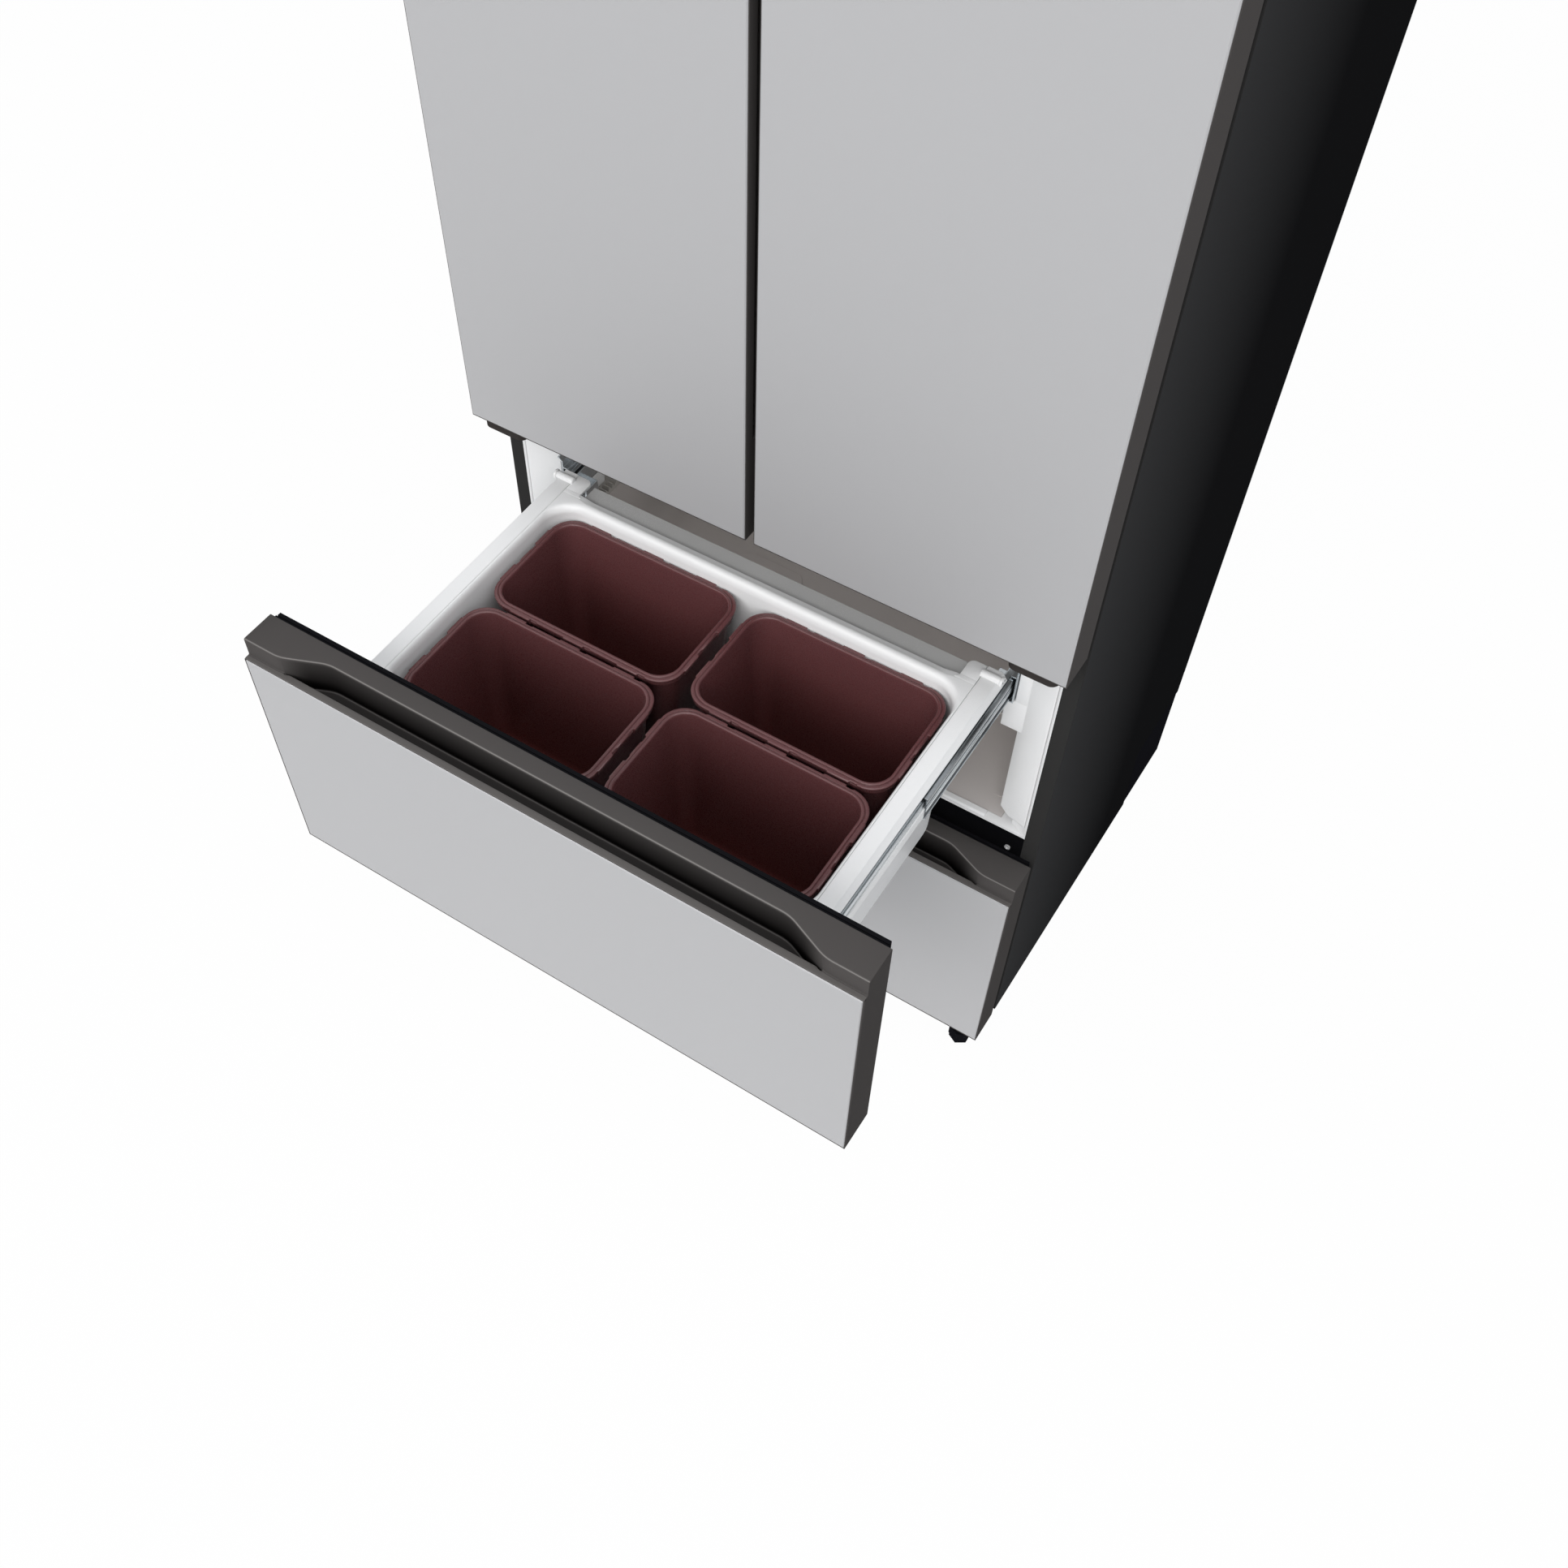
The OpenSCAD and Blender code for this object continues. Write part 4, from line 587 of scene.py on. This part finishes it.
def front_bevel(which):
    z0 = -HANDLE_H - CAP_T - 0.2
    form = Form()
    # strip on the panel's top bevel, and its upright edges: painted highlight
    form.along_x([(1.3, z0 + 0.14), (0.02, z0 - 1.5), (0.35, z0 - 1.7), (1.5, z0 - 0.2)],
                 (-HW + 2.1, HW - 2.1))
    for side in (-1, 1):
        side_bevel(form, side * HW, side, -DRAWERS[which].height + 3, z0 - 1)
    form.piece(which + "_panel_bevel", which + "_drawer", painted_highlight_metal, at=drawer_place(which),
               slot="silver_panel")


# ---- containers ------------------------------------------------------------------------------

LUG, NOTCH = 14.0, 10.0                       # half of a lug, and where the notch beside it ends
LUG_OUT, NOTCH_IN, LUG_GAP = 1.5, 1.1, 0.6
LONG_LUGS, SHORT_LUGS = (-79.0, -1.0, 76.0), (-35.0, 35.0)
LONG_HALF, SHORT_HALF = CONT_W / 2 - CONT_R, CONT_D / 2 - CONT_R
DRAFT = 0.075                                 # taper of the walls
WALL_OUT, WALL_IN = 6.4, 8.6                  # outer and inner face of the wall, in from the rim
CONT_SPACE_X, CONT_SPACE_Y, CONT_MARGIN = 16, 6, 16


def lug_way(centre, one_way):
    """The side of the lug that has the notch."""
    return 1 if one_way or centre < 0 else -1


def lug_marks(lugs, half, one_way):
    """Places along a side, from -1 to 1, just before and after each step of the rim."""
    marks = []
    for c in lugs:
        way = lug_way(c, one_way)
        for m in (c - LUG, c + LUG, c + way * (LUG + LUG_GAP), c + way * (LUG + NOTCH)):
            marks += [(m - 0.2) / half, (m + 0.2) / half]
    return sorted(m for m in marks if abs(m) < 1)


def lug_step(a, lugs, one_way, notch):
    """Outward step of the rim at a millimetres along a side: lugs stand out, notches go in."""
    for c in lugs:
        if abs(a - c) < LUG:
            return LUG_OUT
        if LUG + LUG_GAP < lug_way(c, one_way) * (a - c) < LUG + NOTCH:
            return -NOTCH_IN * notch
    return 0.0


LONG_MARKS = lug_marks(LONG_LUGS, LONG_HALF, True)
SHORT_MARKS = lug_marks(SHORT_LUGS, SHORT_HALF, False)


def container_ring(inset, z, step=0.0, notch=1.0):
    """Ring drawn in from the rim's outer edge; step and notch bring in the lugs and notches."""
    ring = []
    for x, y, side, u in outline(-CONT_W / 2 + inset, CONT_W / 2 - inset, -CONT_D / 2 + inset,
                                 CONT_D / 2 - inset, CONT_R - inset * 0.6, LONG_MARKS, SHORT_MARKS):
        if step and side in ("front", "back"):
            y += step * lug_step(u * LONG_HALF, LONG_LUGS, True, notch) * (1 if side == "back" else -1)
        elif step and side:
            x += step * lug_step(u * SHORT_HALF, SHORT_LUGS, False, notch) * (1 if side == "right" else -1)
        ring.append((x, y, z))
    return ring


def container_rings():
    """A drafted box with a hollow rolled rim, as rings from its foot over the rim to its floor."""
    h = CONT_H

    def wall(z, out=WALL_OUT):
        return out + DRAFT * (h - z)

    under_rim = ((7.0, h - 6), (6.2, h - 4.3), (3.4, h - 4.1))
    skirt = ((2.7, h - 4.6, 0.9), (2.4, h - 9.4, 1), (1.8, h - 10.1, 1), (1.1, h - 9.5, 1), (0.9, h - 4.6, 1))
    crown = ((0.75, h - 4.3, 1), (0.2, h - 3.4, 1), (0, h - 2.6, 1), (0.25, h - 1.8, 1), (0.9, h - 1.25, 1),
             (1.7, h - 1.1, 0.8))
    bead = ((3.7, h - 1.1), (4.0, h - 1.9), (4.5, h - 1.95), (4.8, h - 0.6), (5.3, h - 0.1), (6.4, h),
            (7.6, h - 0.25), (8.3, h - 1.2), (8.7, h - 5))
    inside = ((9, 8.5, 0.8), (5, 5, 3), (3, 3, 8), (2.5, 2.5, 16))
    rings = [container_ring(wall(0) + 5, 0), container_ring(wall(0) + 1.4, 0.7), container_ring(wall(4), 4)]
    rings += [container_ring(wall(z), z) for z in (h * 0.35, h * 0.7, h - 16)]
    rings += [container_ring(inset, z) for inset, z in under_rim]
    rings += [container_ring(inset, z, step, notch=0) for inset, z, step in skirt]
    rings += [container_ring(inset, z, step) for inset, z, step in crown]
    rings += [container_ring(inset, z) for inset, z in bead]
    rings += [container_ring(wall(z, WALL_IN), z) for z in (h * 0.75, h * 0.5, h * 0.25, 14)]
    rings += [container_ring(wall(wall_z, WALL_IN) + more, z) for wall_z, z, more in inside]
    return rings


def container_place(column, row):
    """Middle of a container in its drawer; column is -1 or 1, row 0 in front."""
    return (column * (CONT_W + CONT_SPACE_X) / 2,
            BIN_Y0 + CONT_MARGIN + CONT_D / 2 + row * (CONT_D + CONT_SPACE_Y))


def containers():
    rings = container_rings()
    rows, columns = {"front": 0, "rear": 1}, {"left": -1, "right": 1}
    middle, lower = DRAWERS["middle"], DRAWERS["lower"]
    stand = RIM + 0.3                         # a hair above the tub's floor
    for row, k in rows.items():
        for column, side in columns.items():
            x, y = container_place(side, k)
            form = Form()
            form.loft(rings)
            node = f"container_{row}_{column}"
            form.piece("food_" + node, node, plum, [node],
                       (x, y + ROW - middle.opened, middle.top + stand - middle.depth), sharp=42)
    form = Form()
    for k in rows.values():
        for side in columns.values():
            x, y = container_place(side, k)
            form.loft([[(px + x, py + y, pz) for px, py, pz in ring] for ring in rings])
    form.piece("lower_food_containers", "lower_drawer", plum, ["lower_containers"],
               (0, ROW - lower.opened, lower.top + stand - lower.depth), sharp=42)


# ---- drawer tubs and their side frames -------------------------------------------------------

TAPER = 8.0                                   # how far the tub draws in from rim to floor
SAG_X, SAG_BLEND = 262, 10                    # half of the strip between the ears, and its ends
ROLL = 12                                     # height of the rolled rim
PLATE_X = 287.6                               # outer edge of the ear plates
CREASE = 306.5                                # fold of the side frame's cover


def tub_ring(out_x, out_front, out_back, r, z, fall=0.0):
    """Ring around the drawer tub; fall lowers the part between the ears, behind the rear ridge."""
    along_rear = (-0.98, -0.92, -0.86, -0.8, 0, 0.8, 0.86, 0.92, 0.98)
    ring = []
    for x, y, side, _ in outline(-BIN_HALF - out_x, BIN_HALF + out_x, BIN_Y0 - out_front,
                                 BIN_END + out_back, r, along_rear, (0,), corner=14):
        low = smooth((SAG_X - abs(x)) / SAG_BLEND) if side == "back" else 0
        ring.append((x, y, z - fall * low))
    return ring


def tub_rings(depth):
    """The tub's skin, from its floor up the inside, over the rim and down the outside."""
    floor, rim = RIM - depth, RIM - 0.6
    # inner floor: (drawn in, corner radius, height above the floor)
    rings = [tub_ring(-TAPER - inset, -TAPER - inset, -TAPER - inset, r, floor + rise)
             for inset, r, rise in ((14, 20, 0), (5, 28, 0.8), (1.4, 34, 4), (0, 36, 10))]
    for k in (0.25, 0.5, 0.75, 1):
        inset = TAPER * (1 - k) + 2.4 * k
        rings.append(tub_ring(-inset, -inset, -inset, 36.5, floor + 10 + (depth - 10 - ROLL) * k))
    # the rim rolls outwards: wide along the rear, tight at the front and the sides
    for a in (12, 25, 38, 51, 64, 77, 90):
        c, s = 1 - math.cos(math.radians(a)), math.sin(math.radians(a))
        rings.append(tub_ring(-2.4 + 4.4 * c, -2.4 + 4 * c, -2.4 + 8 * c, 38, rim - ROLL + ROLL * s))
    # flange and its outer edge: (out at the sides, front and back, radius, above the rim, fall)
    rings += [tub_ring(x, front, back, r, rim + rise, fall) for x, front, back, r, rise, fall in (
        (2.1, 2.1, 7.6, 34, 0, 0.1), (2.3, 2.2, 9.5, 26, 0, 0.9), (2.4, 2.3, 11, 8, 0, 1.8),
        (2.5, 2.4, 16.2, 3, -0.1, 3.2), (2.6, 2.6, 17, 2, -0.4, 3.2), (2.6, 2.6, 17, 2, -3.6, 3.2),
        (2.5, 2.6, 16, 2, -4, 3.2), (2.4, 2.6, 4, 38, -7.5, 0), (2.4, 2.6, 3, 41, -9, 0))]
    # outer wall and underside
    rings += [tub_ring(x - TAPER, front - TAPER, back - TAPER, r, floor + rise)
              for x, front, back, r, rise in (
                  (2.4, 2.6, 3, 41, 6), (1, 1.5, 1.5, 39, -1), (-2, -2, -2, 34, -BIN_T))]
    return rings


def ear_plate(form, side):
    """Plate behind the tub's rear corner, softened along its top edge."""
    rim = RIM - 0.6
    plate = [(PLATE_X, FLANGE_Y - 6), (PLATE_X, EAR_Y1 - 0.6), (PLATE_X - 0.6, EAR_Y1)]
    plate += arc(EAR_X + EAR_R, EAR_Y1 - EAR_R, EAR_R, 90, 180, 10)
    plate += [(EAR_X, EAR_Y0 + 3), (EAR_X - 1.2, EAR_Y0 - 0.4), (EAR_X - 4, EAR_Y0 - 1),
              (EAR_X - 4, FLANGE_Y - 6)]
    cx, cy = EAR_X + 11, EAR_Y0 + 10
    form.loft([[(side * (cx + (x - cx) * k), cy + (y - cy) * k, rim - down) for x, y in plate]
               for k, down in ((1, 3), (1, 0.7), (0.996, 0.2), (0.98, 0.02))])


def drawer_tub(which):
    form = Form()
    form.loft(tub_rings(DRAWERS[which].depth))
    for side in (-1, 1):
        ear_plate(form, side)
    form.piece(which + "_tub", which + "_drawer", white, [which + "_bin"], drawer_place(which), sharp=45)


def side_frames(which):
    """Folded cover, web and bottom flange, the foot under the slide, and the barrel on the ear."""
    form = Form()
    z, zb = RIM, SLIDE_Z - SLIDE_HALF - 7
    web_x = FRAME_X + FRAME_T
    cover = [(288.0, z - 1.1), (288.25, z - 0.45), (288.8, z - 0.1), (289.6, z), (CREASE, z),
             (CREASE + 0.9, z - 0.25), (COVER_X - 0.9, z - 8.4), (COVER_X - 0.1, z - 9.1),
             (COVER_X - 0.3, z - 9.8), (COVER_X - 1.8, z - 9.8), (COVER_X - 7.4, z - 4.1)]
    web = [(web_x, z - 4.1), (web_x, zb + 2.4), (web_x + 0.4, zb + 2), (FRAME_X + 7.6, zb + 2),
           (FRAME_X + 8, zb + 1.6), (FRAME_X + 8, zb + 0.4), (FRAME_X + 7.6, zb), (FRAME_X, zb),
           (FRAME_X, z - 4.1), (288.0, z - 4.1)]
    form.along_y(cover + web, (FRAME_Y0, EAR_Y1))
    foot = [(-0.3, -15.3), (12.1, -15.3), (12.5, -14.9), (12.5, 0.6), (12.1, 1), (8.6, 1), (8.2, 0.6),
            (8.2, -14), (-0.3, -14)]
    form.along_y([(web_x + x, SLIDE_Z + v) for x, v in foot], (FRAME_Y0, EAR_Y1))
    form.rod(COVER_X - 28, COVER_X - 2.5, EAR_Y0 + 17, z + 0.3, 5, 1.6)
    form.rod(COVER_X - 3, COVER_X + 0.6, EAR_Y0 + 17, z + 0.3, 6, 0.6)
    node = "middle_side_frames" if which == "middle" else "lower_bin"
    form.piece(which + "_tub_sides", which + "_drawer", white, [node], drawer_place(which), sharp=35,
               mirrored=True)


# dark discs on the barrel's end: painted shade where its two holes are
def barrel_holes(which):
    form = Form()
    for s in (-1, 1):
        form.rod(COVER_X - 0.2, COVER_X + 0.7, EAR_Y0 + 17 + s * 2.7, RIM + 1.6, 1.5, 0.2, 14)
    form.piece(which + "_barrel_holes", which + "_drawer", dark_plastic, at=drawer_place(which),
               mirrored=True)


# ---- doors and case --------------------------------------------------------------------------

DOOR_Z0, DOOR_Z1 = 864, 1831.5                # ends of the doors' bevels
WING_Y, WING_Z = 487.0, 216.0                 # front edge and top of the side grips
ROOM_Z0, ROOM_Z1 = 513, 838                   # ends of the middle room's linings
HOLDER_X = 338.4                              # wall that the holders of the slide sit on


def door_bevels(body, side):
    form = Form()
    # the doors' upright bevels: painted highlight
    for edge, way in ((side * HW, side), (side * DOOR_GAP / 2, -side)):
        side_bevel(form, edge, way, DOOR_Z0, DOOR_Z1)
    form.piece(body + "_panel_bevel", body, painted_highlight_metal, at=(0, ROW, 0), slot="silver_panel")


def side_grips():
    """Dark panels let into the lower rear corners of the case's sides."""
    form = Form()
    form.along_x([(WING_Y + 17, LIFT + 0.2), (BACK - 0.4, LIFT + 0.2), (BACK - 0.4, WING_Z - 0.4),
                  (WING_Y + 0.6, WING_Z - 0.4)], (HW - 10.8, HW - 1.4))
    form.piece("side_grip_panels", "cabinet", dark_plastic, at=(0, ROW, 0), mirrored=True)


def slide_holders():
    """White blocks under and behind the right slide's front end, and the linings of both jambs."""
    form = Form()
    form.block((310.6, 72, 669), (HOLDER_X, 139, 718.6), 1)
    form.block((322.7, 72.2, 718), (HOLDER_X, 240, 800), 1)
    lining = ((374, 61.5), (347.5, 67), (332, 77), (332, 101), (338.2, 101), (338.2, 93), (353.2, 72))
    for side in (-1, 1):
        form.along_z([(side * x, y) for x, y in lining], (ROOM_Z0, ROOM_Z1))
    form.piece("slide_holders", "cabinet", white, at=(0, ROW, 0))


# ---- ribbed middle members of the slides -----------------------------------------------------

MID_X, MID_W, MID_HALF = 318.0, 11.5, 18.5    # outer face, width and half height
MID_Y0, MID_Y1 = SLIDE_Y0 + 6, SLIDE_Y1 - 4
SHEET = 1.4
CAGE_Y0, CAGE_Y1 = SLIDE_Y1 - 260, SLIDE_Y1 - 10


def member_section():
    """Channel open towards the drawer, as (x, z) and a value for painted shade in the grooves and inside and
    painted highlights on the crests, with ribs rolled into its face and top.
    """
    low, high, inner_x = -MID_HALF, MID_HALF, MID_X - MID_W
    face = [(-1.3, low, 0), (-0.3, low + 0.3, -0.5), (0, low + 1.3, -0.3), (0, low + 3.5, 0),
            (-0.7, low + 4.2, 0.9), (-1.3, low + 5, 0.9), (-1.3, -5.6, 0.55), (-1, -4.8, 0.5),
            (-0.1, -3.8, -0.35), (-0.1, 1, -0.1), (-0.4, 1.8, 0.8), (-0.1, 2.6, 0), (-0.1, 4.6, -0.3),
            (-0.8, 5.4, 0.9), (-1.3, 6.2, 0.8), (-1.3, 8.5, 0.5), (-0.6, 9.4, -0.1), (0, 10.4, 0),
            (0, high - 4, 0.25), (0, high - 2.4, 0.9), (-0.3, high - 0.3, 0.5)]
    top = [(-1.3, high, 0.1), (-4.6, high, 0.15), (-5, high - 0.5, 0.9), (-5.6, high - 0.5, 0.9),
           (-6, high, 0.1)]
    inside = [(inner_x, high, 0.2), (inner_x, high - SHEET, 0.9), (MID_X - 2.7, high - SHEET, 0.9),
              (MID_X - 2.7, low + SHEET, 0.9), (inner_x, low + SHEET, 0.9), (inner_x, low, 0)]
    return [(MID_X + x, z, tone) for x, z, tone in face + top] + inside


def slide_members(which):
    drawer = DRAWERS[which]
    form = Form()
    form.along_y([(x, z + SLIDE_Z, tone) for x, z, tone in member_section()], (MID_Y0, MID_Y1))
    # ball cage
    form.block((308.5, CAGE_Y0, -87.2), (311.5, CAGE_Y1, -84.5), 0.3)
    form.piece(which + "_slide_members", which + "_slides", slide_steel, [which + "_slides"],
               (0, ROW - drawer.opened / 2, drawer.top), sharp=25, mirrored=True)


# ---- feet ------------------------------------------------------------------------------------

FOOT_IN, FOOT_Y = 34, 30                      # in from the side, behind the fronts' faces
HEX_START = -87                               # degrees at which the pad's first corner lies
PAD_AND_NUT = ((15, 0), (16, 1), (16, 6.6), (14.6, 8), (16.4, 8.2), (17.5, 9.4), (17.5, 27), (16.8, 28))
STEM_R, ROOT_R, STEM_Z, THREAD_STEP, THREAD_RINGS = 5, 4.4, 27.8, 0.6, 57
LOCK_NUT_R, LOCK_NUT_Z = 10, (44.7, 51.7)


def foot(body, side):
    """Six-sided pad and nut, threaded stem and lock nut."""
    form = Form()
    form.loft([flat_ring(r, z, 6, HEX_START) for r, z in PAD_AND_NUT])
    form.loft([flat_ring(STEM_R if k % 2 else ROOT_R, STEM_Z + k * THREAD_STEP, 24)
               for k in range(THREAD_RINGS)])
    form.loft([flat_ring(LOCK_NUT_R, z, 6, HEX_START) for z in LOCK_NUT_Z])
    form.piece(body + "_turned", body, dark_plastic, [body], (side * (HW - FOOT_IN), FOOT_Y + ROW, 0),
               sharp=30)


# ---- floor -----------------------------------------------------------------------------------

FLOOR_HALF = 6                                # metres
FLOOR_SEEN = 0.97                             # share of plain white; the rest keeps the shadow


def pale_floor():
    t = Tree("pale_floor")
    t.set(Base_Color=(0.9, 0.9, 0.9), Roughness=0.9)
    glow = t.new("Emission")
    t.blend(t.maths("MULTIPLY", t.backdrop(), FLOOR_SEEN), t.shader.outputs[0], glow.outputs[0], t.out)
    mesh = bpy.data.meshes.new("floor")
    corners = ((-1, -1), (1, -1), (1, 1), (-1, 1))
    mesh.from_pydata([(FLOOR_HALF * x, FLOOR_HALF * y, 0) for x, y in corners], [], [(0, 1, 2, 3)])
    mesh.materials.append(t.material)
    linked("floor", mesh)


# ---- the whole object ------------------------------------------------------------------------

for which in DRAWERS:
    front_body(which)
    front_bevel(which)
containers()
for which in DRAWERS:
    drawer_tub(which)
    side_frames(which)
    barrel_holes(which)
door_bevels("left_door", -1)
door_bevels("right_door", 1)
side_grips()
slide_holders()
for which in DRAWERS:
    slide_members(which)
foot("left_foot", -1)
foot("right_foot", 1)
pale_floor()
